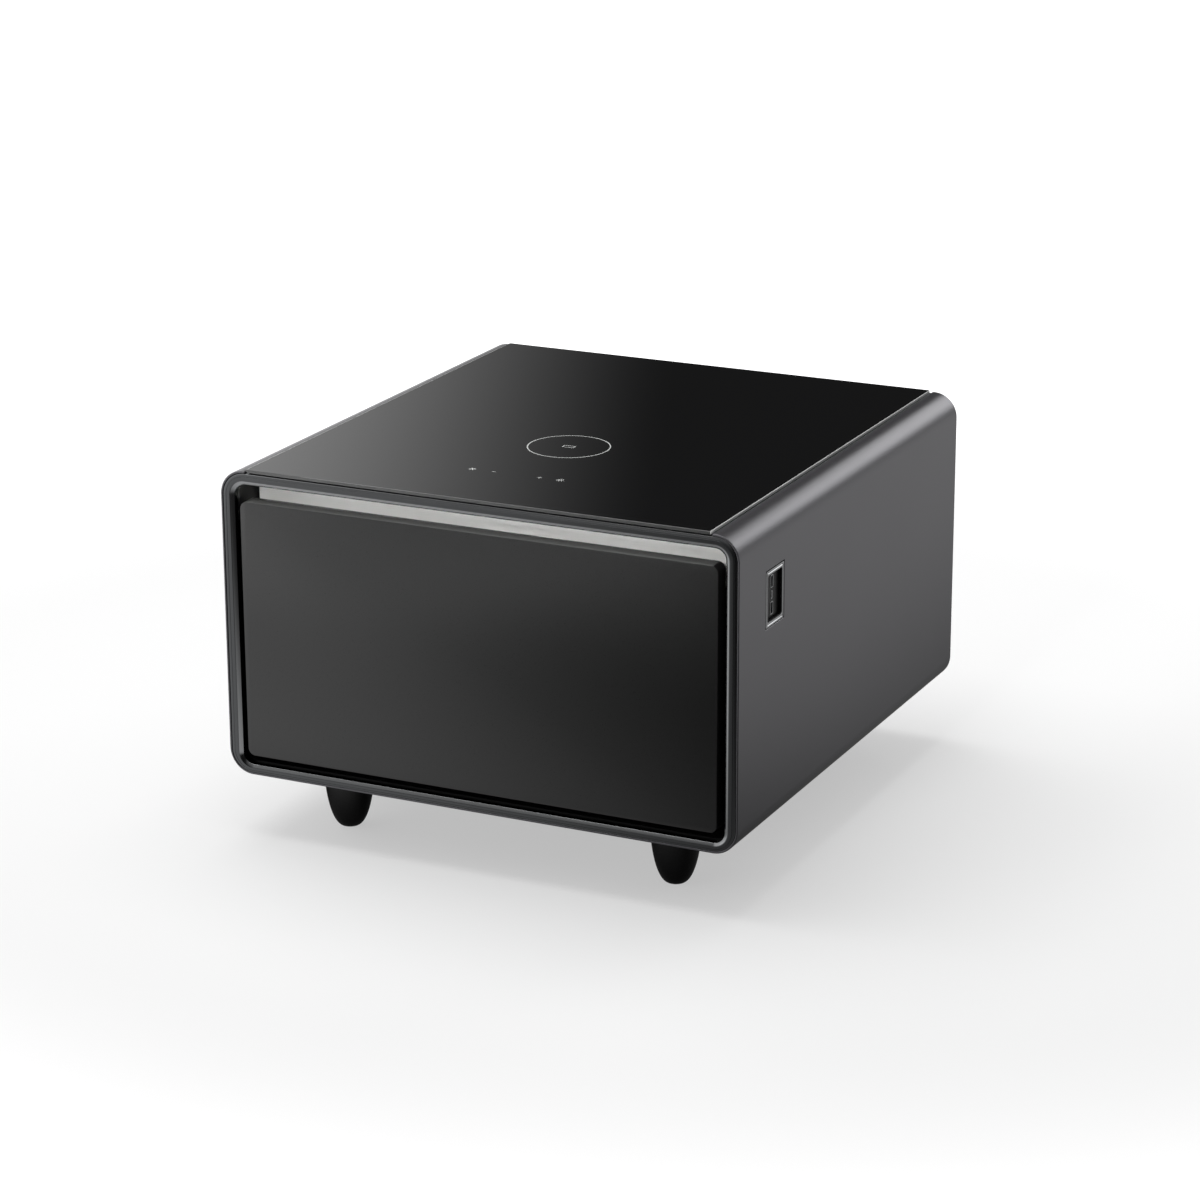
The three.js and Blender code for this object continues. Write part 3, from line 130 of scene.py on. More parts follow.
# One material and its nodes
class Finish:
    def __init__(self, name, **base):
        self.material = bpy.data.materials.new(name)
        self.material.use_nodes = True
        self.tree = self.material.node_tree
        self.shader = self.tree.nodes["Principled BSDF"]
        self.set(**base)

    def node(self, kind, settings, values=(), out=0):
        made = self.tree.nodes.new(kind)
        for key, setting in settings.items():
            setattr(made, key, setting)
        pairs = values.items() if isinstance(values, dict) else enumerate(values)
        for key, value in pairs:
            if isinstance(value, Wire):
                self.tree.links.new(value.socket, made.inputs[key])
            else:
                made.inputs[key].default_value = value
        return Wire(self, made.outputs[out])

    def set(self, **values):  # the shader's own sockets, by name without spaces
        for key, value in values.items():
            socket = next(s for s in self.shader.inputs if s.name.replace(" ", "").lower() == key)
            if isinstance(value, Wire):
                self.tree.links.new(value.socket, socket)
            elif socket.type == "RGBA":
                socket.default_value = (*value, 1)
            else:
                socket.default_value = value

    def place(self, stretch=(1, 1, 1)):
        at = self.node("ShaderNodeTexCoord", {}, (), "Object")
        return self.node("ShaderNodeMapping", {}, {"Vector": at, "Scale": stretch})

    def axes(self):  # x, y and z on the piece
        at = self.node("ShaderNodeTexCoord", {}, (), "Object")
        parts = self.node("ShaderNodeSeparateXYZ", {}, (at,))
        return [Wire(self, socket) for socket in parts.socket.node.outputs]

    def noise(self, scale, detail, stretch=(1, 1, 1), rough=0.5):
        values = {"Vector": self.place(stretch), "Scale": scale, "Detail": detail, "Roughness": rough}
        return self.node("ShaderNodeTexNoise", {}, values)

    def cells(self, scale):
        values = {"Vector": self.place(), "Scale": scale}
        return self.node("ShaderNodeTexVoronoi", {}, values, "Distance")

    def mix(self, factor, low, high):  # sockets 6 and 7 and output 2 are the colours
        settings = {"data_type": "RGBA"}
        low = low if isinstance(low, Wire) else (*low, 1)
        high = high if isinstance(high, Wire) else (*high, 1)
        return self.node("ShaderNodeMix", settings, {0: factor, 6: low, 7: high}, 2)

    def wander(self, level, *swings):  # a level that patterns push up and down
        for pattern, swing in swings:
            level = level + (pattern - 0.5) * swing
        return level

    def bump(self, height, depth, strength):
        values = {"Strength": strength, "Distance": depth, "Height": height}
        self.set(normal=self.node("ShaderNodeBump", {}, values))


# Floor and surround: a pale floor that keeps the shadow, white beyond it. For the camera the floor also
# glows more the further it lies from the body, which leaves a painted shade round the body.
# What begins with mirror is a painted reflection: to glossy rays the floor is black and glows in a set
# pattern, lighter to the left, front-left and right rear, dimmer beside the body's right side.
studio = {
    "floorTone": (0.42, 0.42, 0.42),
    "floorLift": 0.48,
    "mirrorBase": 0.04,
    "mirrorLeft": (-0.75, 0.45, 1.15),
    "mirrorAhead": (-0.1, 0.15),
    "mirrorBeside": (0.35, 1.0),
    "mirrorFrom": -0.335,
    "mirrorSlant": 0.5,
    "mirrorRear": (0.1, 0.85, 0.72),
    "mirrorRearFade": (-0.7, 0.4),
    "floorHalf": 14,
    "shadowReach": (1.0, 2.9),
    "nearer": 0.35,
    "dimLevel": 0.02,
    "leftLevel": 1.2,
    "leftFade": (0.40, 0.56),
    "skyLevel": 0.45,
    "skyFade": (0.45, 0.95),
    "rearLevel": 0.53,
    "rearFade": (0.2, 0.7),
    "rearSide": (0.08, 0.4),
    "rearLow": (0.25, 0.6),
    "frontLevel": 0.55,
    "frontFade": (0.2, 0.9),
    "frontSide": (-0.1, 0.75),
}


def addFloor(facts):
    mesh = bpy.data.meshes.new("studioFloor")
    shape = bmesh.new()
    bmesh.ops.create_grid(shape, x_segments=1, y_segments=1, size=facts["floorHalf"])
    shape.to_mesh(mesh)
    shape.free()
    floor = bpy.data.objects.new("studioFloor", mesh)
    scene.collection.objects.link(floor)
    finish = Finish("floorPaper", roughness=1.0, speculariorlevel=0)
    seen = finish.node("ShaderNodeLightPath", {}, (), "Is Camera Ray")
    mirrored = finish.node("ShaderNodeLightPath", {}, (), "Is Glossy Ray")
    at = finish.node("ShaderNodeTexCoord", {}, (), "Object")
    x, y = finish.axes()[:2]
    reach = finish.node("ShaderNodeVectorMath", {"operation": "LENGTH"}, (at,), "Value")
    away = reach + (y * -1).held() * facts["nearer"]
    leftFrom, leftTo, leftLevel = facts["mirrorLeft"]
    rearFrom, rearTo, rearLevel = facts["mirrorRear"]
    behind = y - facts["mirrorFrom"]
    ahead = (behind * -1).band(*facts["mirrorAhead"])
    slanted = (behind.least(0) * facts["mirrorSlant"] - x).band(leftFrom, leftTo) * ahead
    leftPart = slanted.most((x * -1).band(*facts["mirrorBeside"])) * leftLevel
    rearPart = x.band(rearFrom, rearTo) * y.band(*facts["mirrorRearFade"]) * rearLevel
    # painted reflection: the pattern that glossy pieces see in the floor
    paintedReflection = leftPart.most(rearPart) + facts["mirrorBase"]
    # painted light: for the camera the floor glows more away from the body, so it stays darker close to
    # it, a painted shade
    paintedFloorLight = away.band(*facts["shadowReach"]) + facts["floorLift"]
    # black to glossy rays, so they find only the painted reflection in the floor
    finish.set(basecolor=finish.mix(mirrored, facts["floorTone"], (0, 0, 0)))
    finish.set(emissioncolor=(1, 1, 1), emissionstrength=seen * paintedFloorLight + mirrored * paintedReflection)
    mesh.materials.append(finish.material)


# White where it is seen; as a light, broad and soft from the left, above, behind and ahead
def addWorld(facts):
    world = bpy.data.worlds.new("studioWorld")
    scene.world = world
    world.use_nodes = True
    links, added = world.node_tree.links, world.node_tree.nodes.new

    def fade(source, limits, level):
        step = added("ShaderNodeMapRange")
        step.interpolation_type = "SMOOTHSTEP"
        step.inputs["From Min"].default_value, step.inputs["From Max"].default_value = limits
        step.inputs["To Max"].default_value = level
        links.new(source, step.inputs["Value"])
        return step.outputs[0]

    def maths(operation, one, two):
        step = added("ShaderNodeMath")
        step.operation = operation
        for socket, value in zip(step.inputs, (one, two)):
            if isinstance(value, (int, float)):
                socket.default_value = value
            else:
                links.new(value, socket)
        return step.outputs[0]

    toward = added("ShaderNodeTexCoord").outputs["Generated"]
    parts = added("ShaderNodeSeparateXYZ")
    links.new(toward, parts.inputs[0])
    left = fade(maths("MULTIPLY", parts.outputs["X"], -1), facts["leftFade"], facts["leftLevel"])
    sky = fade(parts.outputs["Z"], facts["skyFade"], facts["skyLevel"])
    ahead = fade(maths("MULTIPLY", parts.outputs["Y"], -1), facts["frontFade"], facts["frontLevel"])
    aside = fade(maths("MULTIPLY", parts.outputs["X"], -1), facts["frontSide"], 1)
    low = maths("SUBTRACT", 1, fade(parts.outputs["Z"], facts["skyFade"], 1))
    near = maths("MULTIPLY", maths("MULTIPLY", ahead, aside), low)
    behind = fade(parts.outputs["Y"], facts["rearFade"], facts["rearLevel"])
    beside = maths("MULTIPLY", behind, fade(parts.outputs["X"], facts["rearSide"], 1))
    far = maths("MULTIPLY", beside, maths("SUBTRACT", 1, fade(parts.outputs["Z"], facts["rearLow"], 1)))
    brightest = maths("MAXIMUM", maths("MAXIMUM", left, sky), maths("MAXIMUM", near, far))
    level = maths("ADD", brightest, facts["dimLevel"])
    path = added("ShaderNodeLightPath")
    seen = maths("MAXIMUM", path.outputs["Is Camera Ray"], path.outputs["Is Transmission Ray"])
    shown = maths("MAXIMUM", level, 1)
    rest = maths("MULTIPLY", level, maths("SUBTRACT", 1, seen))
    back = world.node_tree.nodes["Background"]
    links.new(maths("ADD", rest, maths("MULTIPLY", shown, seen)), back.inputs["Strength"])
    back.inputs["Color"].default_value = (1, 1, 1, 1)


# Those with a spread light the gap above the drawer front, and glossy pieces don't mirror them
lamps = {
    "overhead": {"place": (-0.6, 0.1, 3.0), "aim": (-0.1, 0, 0), "size": (2.6, 2.6), "power": 75},
    "backRight": {"place": (1.1, 2.9, 1.5), "aim": (0.2, 0, 0.35), "size": (1.9, 1.2), "power": 25},
    "leftFront": {
        "place": (-1.15, -1.15, 0.4), "aim": (-0.15, -0.33, 0.25),
        "size": (0.7, 0.7), "power": 0.6,
    },
    "gapHigh": {
        "place": (0, -1.25, 0.82), "aim": (0, -0.28, 0.415),
        "size": (0.75, 0.16), "power": 0.72, "spread": 25,
    },
    "gapLow": {
        "place": (0, -1.3, 0.49), "aim": (0, -0.28, 0.42),
        "size": (0.75, 0.1), "power": 0.45, "spread": 25,
    },
}
openSpread = 180


def addLamps(table):
    for name, facts in table.items():
        data = bpy.data.lights.new(name, "AREA")
        data.shape = "RECTANGLE"
        data.size, data.size_y = facts["size"]
        data.energy = facts["power"]
        data.spread = math.radians(facts.get("spread", openSpread))
        lamp = bpy.data.objects.new(name, data)
        lamp.visible_camera = False
        lamp.visible_glossy = "spread" not in facts
        scene.collection.objects.link(lamp)
        turn = (Vector(facts["aim"]) - Vector(facts["place"])).to_track_quat("-Z", "Y")
        lamp.matrix_world = Matrix.Translation(facts["place"]) @ turn.to_matrix().to_4x4()


addFloor(studio)
addWorld(studio)
addLamps(lamps)
print("studio ready")


# Finishes. A noise is its scale and detail, and a swing is how far a pattern moves the roughness.
shellLook = {
    "metallic": 0.85,
    "tones": ((0.09, 0.0885, 0.0955), (0.108, 0.1065, 0.1135)),
    "grain": (1600, 2),
    "cloud": (6, 2),
    "roughness": 0.36,
    "swings": (0.03, 0.04),
    "bump": (0.000012, 0.25),
}


def shellPaint(look):
    finish = Finish("shellPaint", metallic=look["metallic"])
    grain = finish.noise(*look["grain"])
    cloud = finish.noise(*look["cloud"])
    cloudSwing, grainSwing = look["swings"]
    finish.set(basecolor=finish.mix(grain, *look["tones"]))
    finish.set(roughness=finish.wander(look["roughness"], (cloud, cloudSwing), (grain, grainSwing)))
    finish.bump(grain, *look["bump"])
    return finish.material


mouldings = {
    "blackPlastic": {
        "tone": (0.007, 0.007, 0.0073), "contrast": 0.12, "metallic": 0, "specular": 0.2,
        "roughness": 0.45, "grain": (700, 2), "depth": 0.00003,
    },
    "footPlastic": {
        "tone": (0.004, 0.004, 0.0042), "contrast": 0.1, "metallic": 0, "specular": 0.3,
        "roughness": 0.16, "grain": (300, 2), "depth": 0.000004,
    },
    "rubber": {
        "tone": (0.018, 0.018, 0.019), "contrast": 0.12, "metallic": 0, "specular": 0.35,
        "roughness": 0.68, "grain": (500, 2), "depth": 0.00003,
    },
    "blackSteel": {
        "tone": (0.014, 0.014, 0.0145), "contrast": 0.12, "metallic": 0.25, "specular": 0.5,
        "roughness": 0.42, "grain": (900, 2), "depth": 0.00003,
    },
}
mouldedSkin = {
    "cloud": (7, 3),
    "shares": (0.6, 0.4),
    "limits": (0.3, 0.7),
    "swings": (0.08, 0.05),
    "strength": 0.25,
}


def moulded(name, look, skin):
    finish = Finish(name, metallic=look["metallic"], speculariorlevel=look["specular"])
    grain = finish.noise(*look["grain"])
    cloud = finish.noise(*skin["cloud"])
    grainShare, cloudShare = skin["shares"]
    cloudSwing, grainSwing = skin["swings"]
    shade = (grain * grainShare + cloud * cloudShare).band(*skin["limits"])
    dark = tuple(part * (1 - look["contrast"]) for part in look["tone"])
    light = tuple(part * (1 + look["contrast"]) for part in look["tone"])
    finish.set(basecolor=finish.mix(shade, dark, light))
    finish.set(roughness=finish.wander(look["roughness"], (cloud, cloudSwing), (grain, grainSwing)))
    finish.bump(grain, look["depth"], skin["strength"])
    return finish.material


# Marks printed behind the glass: a row of touch controls and the charging ring
marks = {
    "row": -0.223,
    "cold": -0.057,
    "less": -0.0295,
    "more": 0.029,
    "light": 0.0547,
    "line": 0.0005,
    "reach": 0.0048,
    "frostArms": 3,
    "lampRays": 4,
    "rayShare": 0.68,
    "bulbShare": 0.42,
    "signShare": 0.55,
    "ring": (0.001, -0.0906, 0.0485, 0.0007),
    "charger": (0.0068, 0.0036),
    "dashShare": 0.72,
    "pale": (0.5, 0.51, 0.5),
}
glassLook = {
    "behind": (0.003, 0.003, 0.0032),
    # the edge's pale colour: the unprinted edge, and a painted highlight
    "bare": (0.48, 0.485, 0.48),
    "edge": (0.2898, -0.3341, 0.3301),
    "nearShare": 0.05,
    "smudge": (11, 4),
    "smudged": (0.5, 0.8),
    "roughness": 0.03,
    "smudgeSwing": 0.025,
    "bareSwing": 0.18,
}


def blackGlass(facts, look):
    finish = Finish("blackGlass")
    x, y = finish.axes()[:2]
    line, reach = facts["line"], facts["reach"]
    up = y - facts["row"]

    def bar(along, across, half):
        return (along.size() < half) * (across.size() < line)

    def spokes(across, count, low):
        far = (across * across + up * up).root()
        shown = far * 0
        for step in range(count):
            turn = math.pi * step / count
            along = across * math.cos(turn) + up * math.sin(turn)
            aside = up * math.cos(turn) - across * math.sin(turn)
            shown = shown.most(bar(along, aside, reach))
        return shown * (far > low), far

    frost = spokes(x - facts["cold"], facts["frostArms"], 0)[0]
    rays, far = spokes(x - facts["light"], facts["lampRays"], reach * facts["rayShare"])
    bulb = (far - reach * facts["bulbShare"]).size() < line
    sign = reach * facts["signShare"]
    less = bar(x - facts["less"], up, sign)
    more = bar(x - facts["more"], up, sign).most(bar(up, x - facts["more"], sign))
    middle, rear, radius, half = facts["ring"]
    across, along = x - middle, y - rear
    hoop = ((across * across + along * along).root() - radius).size() < half
    long, wide = facts["charger"]
    frameLine = (across.size() - long).most(along.size() - wide).size() < line
    phone = frameLine.most(bar(across - long * facts["dashShare"], along, line))
    shown = frost.most(rays).most(bulb).most(less).most(more).most(hoop).most(phone)
    side, near, rearEdge = look["edge"]
    # the edge: pale as unprinted glass and as a painted highlight on the sides and rear, almost dark
    # along the front
    bare = (x.size() > side).most(y > rearEdge).most((y < near) * look["nearShare"])
    printed = finish.mix(shown, look["behind"], facts["pale"])
    smudge = finish.noise(*look["smudge"])
    finish.set(basecolor=finish.mix(bare, printed, look["bare"]))
    film = smudge.band(*look["smudged"]) * look["smudgeSwing"]
    finish.set(roughness=look["roughness"] + film + bare * look["bareSwing"])
    return finish.material


panelLook = {
    "topFace": 0.4112,
    "tones": ((0.0074, 0.0074, 0.0074), (0.0086, 0.0086, 0.0086)),
    # painted reflection of the finger channel on the panel's top face
    "topTone": (0.075, 0.076, 0.074),
    "grain": (1500, 2),
    "roughness": 0.28,
    "grainSwing": 0.03,
    "topSwing": 0.12,
}


def panelPaint(look):  # fine satin paint; its top face is painted much lighter, a painted reflection of the finger channel above it, and left a little shinier
    finish = Finish("panelBlack")
    z = finish.axes()[2]
    grain = finish.noise(*look["grain"])
    top = z > look["topFace"]
    plain = finish.mix(grain, *look["tones"])
    # painted reflection: the top face takes the lighter tone
    finish.set(basecolor=finish.mix(top, plain, look["topTone"]))
    satin = finish.wander(look["roughness"], (grain, look["grainSwing"]))
    finish.set(roughness=satin - top * look["topSwing"])
    return finish.material


frameLook = {
    "bevelled": (-0.3348, -0.3344),
    "tones": ((0.066, 0.068, 0.070), (0.072, 0.074, 0.076)),
    # the bevels' and outer edge's colour, a painted highlight
    "bare": (0.22, 0.224, 0.228),
    "grain": (1400, 2),
    "roughness": 0.2,
    "grainSwing": 0.03,
    "bareSwing": 0.03,
}


def frameMetal(look):  # dark flat face, its bevels and outer edge painted much brighter as a painted highlight
    finish = Finish("frameMetal", metallic=1.0)
    y = finish.axes()[1]
    grain = finish.noise(*look["grain"])
    # painted highlight: faces set back from the ridge, the bevels and outer edge, take the pale colour
    bare = y.band(*look["bevelled"])
    plain = finish.mix(grain, *look["tones"])
    finish.set(basecolor=finish.mix(bare, plain, look["bare"]))
    satin = finish.wander(look["roughness"], (grain, look["grainSwing"]))
    finish.set(roughness=satin - bare * look["bareSwing"])
    return finish.material


linerLook = {
    "specular": 0.45,
    "tones": ((0.66, 0.67, 0.665), (0.74, 0.745, 0.735)),
    "trimTone": (0.012, 0.012, 0.012),
    "half": 0.2945,
    "high": 0.429,
    "low": 0.1055,
    "rear": -0.2642,
    "peel": (260, 2),
    "cloud": (5, 2),
    "roughness": 0.3,
    "peelSwing": 0.12,
    "bump": (0.00004, 0.3),
}


def linerPlastic(look):  # white sheet, with the dark trim of the flange outside the gasket
    finish = Finish("linerPlastic", speculariorlevel=look["specular"])
    x, y, z = finish.axes()
    peel = finish.noise(*look["peel"])
    cloud = finish.noise(*look["cloud"])
    white = finish.mix(cloud, *look["tones"])
    outside = (x.size() > look["half"]).most(z > look["high"]).most(z < look["low"])
    trimmed = outside * (y < look["rear"])
    finish.set(basecolor=finish.mix(trimmed, white, look["trimTone"]))
    finish.set(roughness=finish.wander(look["roughness"], (peel, look["peelSwing"])))
    finish.bump(peel, *look["bump"])
    return finish.material


zincLook = {
    "tones": ((0.48, 0.49, 0.5), (0.62, 0.63, 0.64)),
    "rolled": (240, 3),
    "cloud": (18, 3),
    "shares": (0.4, 0.6),
    "roughness": 0.3,
    "swings": (0.05, 0.06),
}


def zincSteel(look):
    finish = Finish("zincSteel", metallic=1.0)
    rolled = finish.noise(*look["rolled"])
    cloud = finish.noise(*look["cloud"])
    rolledShare, cloudShare = look["shares"]
    rolledSwing, cloudSwing = look["swings"]
    finish.set(basecolor=finish.mix(rolled * rolledShare + cloud * cloudShare, *look["tones"]))
    satin = finish.wander(look["roughness"], (rolled, rolledSwing), (cloud, cloudSwing))
    finish.set(roughness=satin)
    return finish.material


copperLook = {
    "clean": (0.66, 0.3, 0.17),
    "stained": (0.28, 0.13, 0.075),
    "stain": (55, 4),
    "stainRough": 0.65,
    "limits": (0.42, 0.7),
    "roughness": 0.24,
    "stainSwing": 0.22,
    "bump": (0.00003, 0.3),
}


def copperPipe(look):
    finish = Finish("copperPipe", metallic=1.0)
    stain = finish.noise(*look["stain"], rough=look["stainRough"])
    finish.set(basecolor=finish.mix(stain.band(*look["limits"]), look["clean"], look["stained"]))
    finish.set(roughness=look["roughness"] + stain * look["stainSwing"])
    finish.bump(stain, *look["bump"])
    return finish.material


foamLook = {
    "specular": 0.2,
    "tones": ((0.6, 0.5, 0.28), (0.76, 0.66, 0.42)),
    "pores": 700,
    "cloud": (20, 3),
    "roughness": 0.85,
    "cloudSwing": 0.1,
    "bump": (0.0004, 0.6),
}


def foamFill(look):
    finish = Finish("foamFill", speculariorlevel=look["specular"])
    pore = finish.cells(look["pores"])
    cloud = finish.noise(*look["cloud"])
    finish.set(basecolor=finish.mix(cloud, *look["tones"]))
    finish.set(roughness=finish.wander(look["roughness"], (cloud, look["cloudSwing"])))
    finish.bump(pore, *look["bump"])
    return finish.material


boardLook = {
    "mask": ((0.012, 0.09, 0.035), (0.02, 0.15, 0.06)),
    "tinned": (0.62, 0.56, 0.4),
    "tracks": 160,
    "pads": 420,
    "padSize": 0.22,
    "metallic": 0.9,
    "roughness": 0.4,
    "padSwing": 0.12,
}


def circuitBoard(look):
    finish = Finish("circuitBoard")
    values = {"Vector": finish.place(), "Scale": look["tracks"]}
    track = finish.node("ShaderNodeTexBrick", {}, values, "Fac")
    pad = finish.cells(look["pads"]) < look["padSize"]
    mask = finish.mix(track, *look["mask"])
    finish.set(basecolor=finish.mix(pad, mask, look["tinned"]))
    finish.set(metallic=pad * look["metallic"])
    finish.set(roughness=look["roughness"] - pad * look["padSwing"])
    return finish.material


brushedLook = {
    "metallic": 0.5,
    "anisotropic": 0.3,
    "tones": ((0.66, 0.655, 0.64), (0.82, 0.815, 0.8)),
    "streak": (60, 4),
    "streakStretch": (0.3, 30, 40),
    "streakRough": 0.6,
    "cloud": (14, 2),
    "roughness": 0.5,
    "swings": (0.14, 0.06),
    "bump": (0.00002, 0.3),
}


def brushedAluminium(look):
    finish = Finish("brushedAluminium", metallic=look["metallic"], anisotropic=look["anisotropic"])
    streak = finish.noise(*look["streak"], stretch=look["streakStretch"], rough=look["streakRough"])
    cloud = finish.noise(*look["cloud"])
    streakSwing, cloudSwing = look["swings"]
    finish.set(basecolor=finish.mix(streak, *look["tones"]))
    satin = finish.wander(look["roughness"], (streak, streakSwing), (cloud, cloudSwing))
    finish.set(roughness=satin)
    finish.bump(streak, *look["bump"])
    return finish.material


finishes = {
    "shell_paint": shellPaint(shellLook),
    "frame_metal": frameMetal(frameLook),
    "black_glass": blackGlass(marks, glassLook),
    "panel_black": panelPaint(panelLook),
    "black_plastic": moulded("blackPlastic", mouldings["blackPlastic"], mouldedSkin),
    "foot_plastic": moulded("footPlastic", mouldings["footPlastic"], mouldedSkin),
    "white_plastic": linerPlastic(linerLook),
    "brushed_aluminium": brushedAluminium(brushedLook),
    "foam": foamFill(foamLook),
    "rubber": moulded("rubber", mouldings["rubber"], mouldedSkin),
    "zinc_steel": zincSteel(zincLook),
    "copper": copperPipe(copperLook),
    "black_steel": moulded("blackSteel", mouldings["blackSteel"], mouldedSkin),
    "circuit_board": circuitBoard(boardLook),
}
print("finishes made")


# Mesh helpers. Outlines are drawn flat and stacked, then stood up against the front.
front = -0.335
hair = 0.000001  # closer than this is the same place
leastCorner = 0.0002
easeShare = 0.3
arcSteps = 6
roundSteps = 12
sharpAngle = 35
bevelAngle = 38


def quarterTurn(steps=arcSteps):
    return [math.pi / 2 * step / steps for step in range(steps + 1)]


def addLoop(shape, outline, level, steps):  # a rounded rectangle, its points in walking order
    left, right, low, high, corner = outline
    before = set(shape.verts)
    made = bmesh.ops.create_grid(shape, x_segments=1, y_segments=1, size=1)["verts"]
    bmesh.ops.scale(shape, vec=((right - left) / 2, (high - low) / 2, 1), verts=made)
    bmesh.ops.translate(shape, vec=((right + left) / 2, (high + low) / 2, level), verts=made)
    bmesh.ops.bevel(
        shape, geom=made, offset=corner, segments=steps,
        profile=0.5, affect="VERTICES", material=-1,
    )
    verts = [v for v in shape.verts if v not in before]
    faces = list({f for v in verts for f in v.link_faces})
    bmesh.ops.delete(shape, geom=faces, context="FACES_ONLY")
    nearest = min(v.co.y for v in verts)
    start = max((v for v in verts if v.co.y < nearest + hair), key=lambda v: v.co.x)
    walk = [start, max((e.other_vert(start) for e in start.link_edges), key=lambda v: v.co.y)]
    while len(walk) < len(verts):
        beside = [e.other_vert(walk[-1]) for e in walk[-1].link_edges]
        walk.append(next(v for v in beside if v is not walk[-2]))
    return walk


def grow(outline, by):
    left, right, low, high, corner = outline
    return (left - by, right + by, low - by, high + by, max(corner + by, leastCorner))


def easedRim(outline, top, edge, inward=1):  # levels that round an upper edge; -1 for an opening's
    middle = edge * easeShare
    return [
        (outline, top - edge),
        (grow(outline, -middle * inward), top - middle),
        (grow(outline, -edge * inward), top),
    ]


def stack(shape, levels, closed=False, steps=roundSteps):
    loops = [addLoop(shape, outline, level, steps) for outline, level in levels]
    pairs = list(zip(loops, loops[1:]))
    if closed:
        pairs.append((loops[-1], loops[0]))
    for one, two in pairs:
        for at in range(len(one)):
            shape.faces.new((one[at - 1], one[at], two[at], two[at - 1]))
    if not closed:
        for loop in (loops[0], loops[-1]):
            shape.faces.new(loop)


def standUp(shape, y=front):  # local up becomes height, local towards-the-viewer becomes -Y
    bmesh.ops.rotate(shape, matrix=Matrix.Rotation(math.pi / 2, 3, "X"), verts=shape.verts)
    bmesh.ops.translate(shape, vec=(0, y, 0), verts=shape.verts)


def addBlock(shape, low, high, edge=0):
    made = bmesh.ops.create_cube(shape, size=1)["verts"]
    bmesh.ops.scale(shape, vec=Vector(high) - Vector(low), verts=made)
    bmesh.ops.translate(shape, vec=(Vector(high) + Vector(low)) / 2, verts=made)
    if edge:
        edges = list({e for v in made for e in v.link_edges})
        bmesh.ops.bevel(
            shape, geom=edges, offset=edge, segments=2,
            profile=0.5, affect="EDGES", material=-1,
        )


def addTurned(shape, profile, steps, place):
    verts = [shape.verts.new((radius, 0, height)) for radius, height in profile]
    edges = [shape.edges.new(pair) for pair in zip(verts, verts[1:])]
    bmesh.ops.spin(
        shape, geom=verts + edges, axis=(0, 0, 1), cent=(0, 0, 0), angle=math.tau,
        steps=steps, use_merge=True,
    )
    bmesh.ops.translate(shape, vec=place, verts=shape.verts)


def addPiece(name, shape, slot, body, stands=(), smooth=sharpAngle, edge=0, wall=0, edgeSteps=2):
    bmesh.ops.remove_doubles(shape, verts=shape.verts, dist=2 * hair)
    bmesh.ops.recalc_face_normals(shape, faces=shape.faces)
    mesh = bpy.data.meshes.new(name)
    shape.to_mesh(mesh)
    shape.free()
    for polygon in mesh.polygons:
        polygon.use_smooth = True
    mesh.set_sharp_from_angle(angle=math.radians(smooth))
    mesh.materials.append(finishes[slot])
    piece = bpy.data.objects.new(name, mesh)
    scene.collection.objects.link(piece)
    if wall:
        solid = piece.modifiers.new("wall", "SOLIDIFY")
        solid.thickness = wall
        solid.offset = -1
        solid.use_even_offset = True
    if edge:
        eased = piece.modifiers.new("easedEdge", "BEVEL")
        eased.width = edge
        eased.segments = edgeSteps
        eased.limit_method = "ANGLE"
        eased.angle_limit = math.radians(bevelAngle)
        eased.harden_normals = True
    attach(piece, body)
    if stands:
        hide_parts(*stands)


# Folded steel wrap round the whole body, with the seat for the glass let into its roof
wrap = {
    "half": 0.325,
    "low": 0.078,
    "high": 0.4475,
    "rear": 0.335,
    "corner": 0.030,
    "wall": 0.0025,
    "seatHalf": 0.29255,
    "seatDrop": 0.0018,
    "notch": 0.0123,
    "edge": 0.001,
    "steps": 16,
    "lapShare": 0.8,
    "panEdge": 0.0003,
}
socketHole = {"y": -0.2355, "z": 0.354, "halfAcross": 0.0256, "halfUp": 0.0336}
picking = {"roofDepth": 0.0001, "roofTilt": 0.99, "flat": 0.999, "near": 0.001}  # tells faces apart


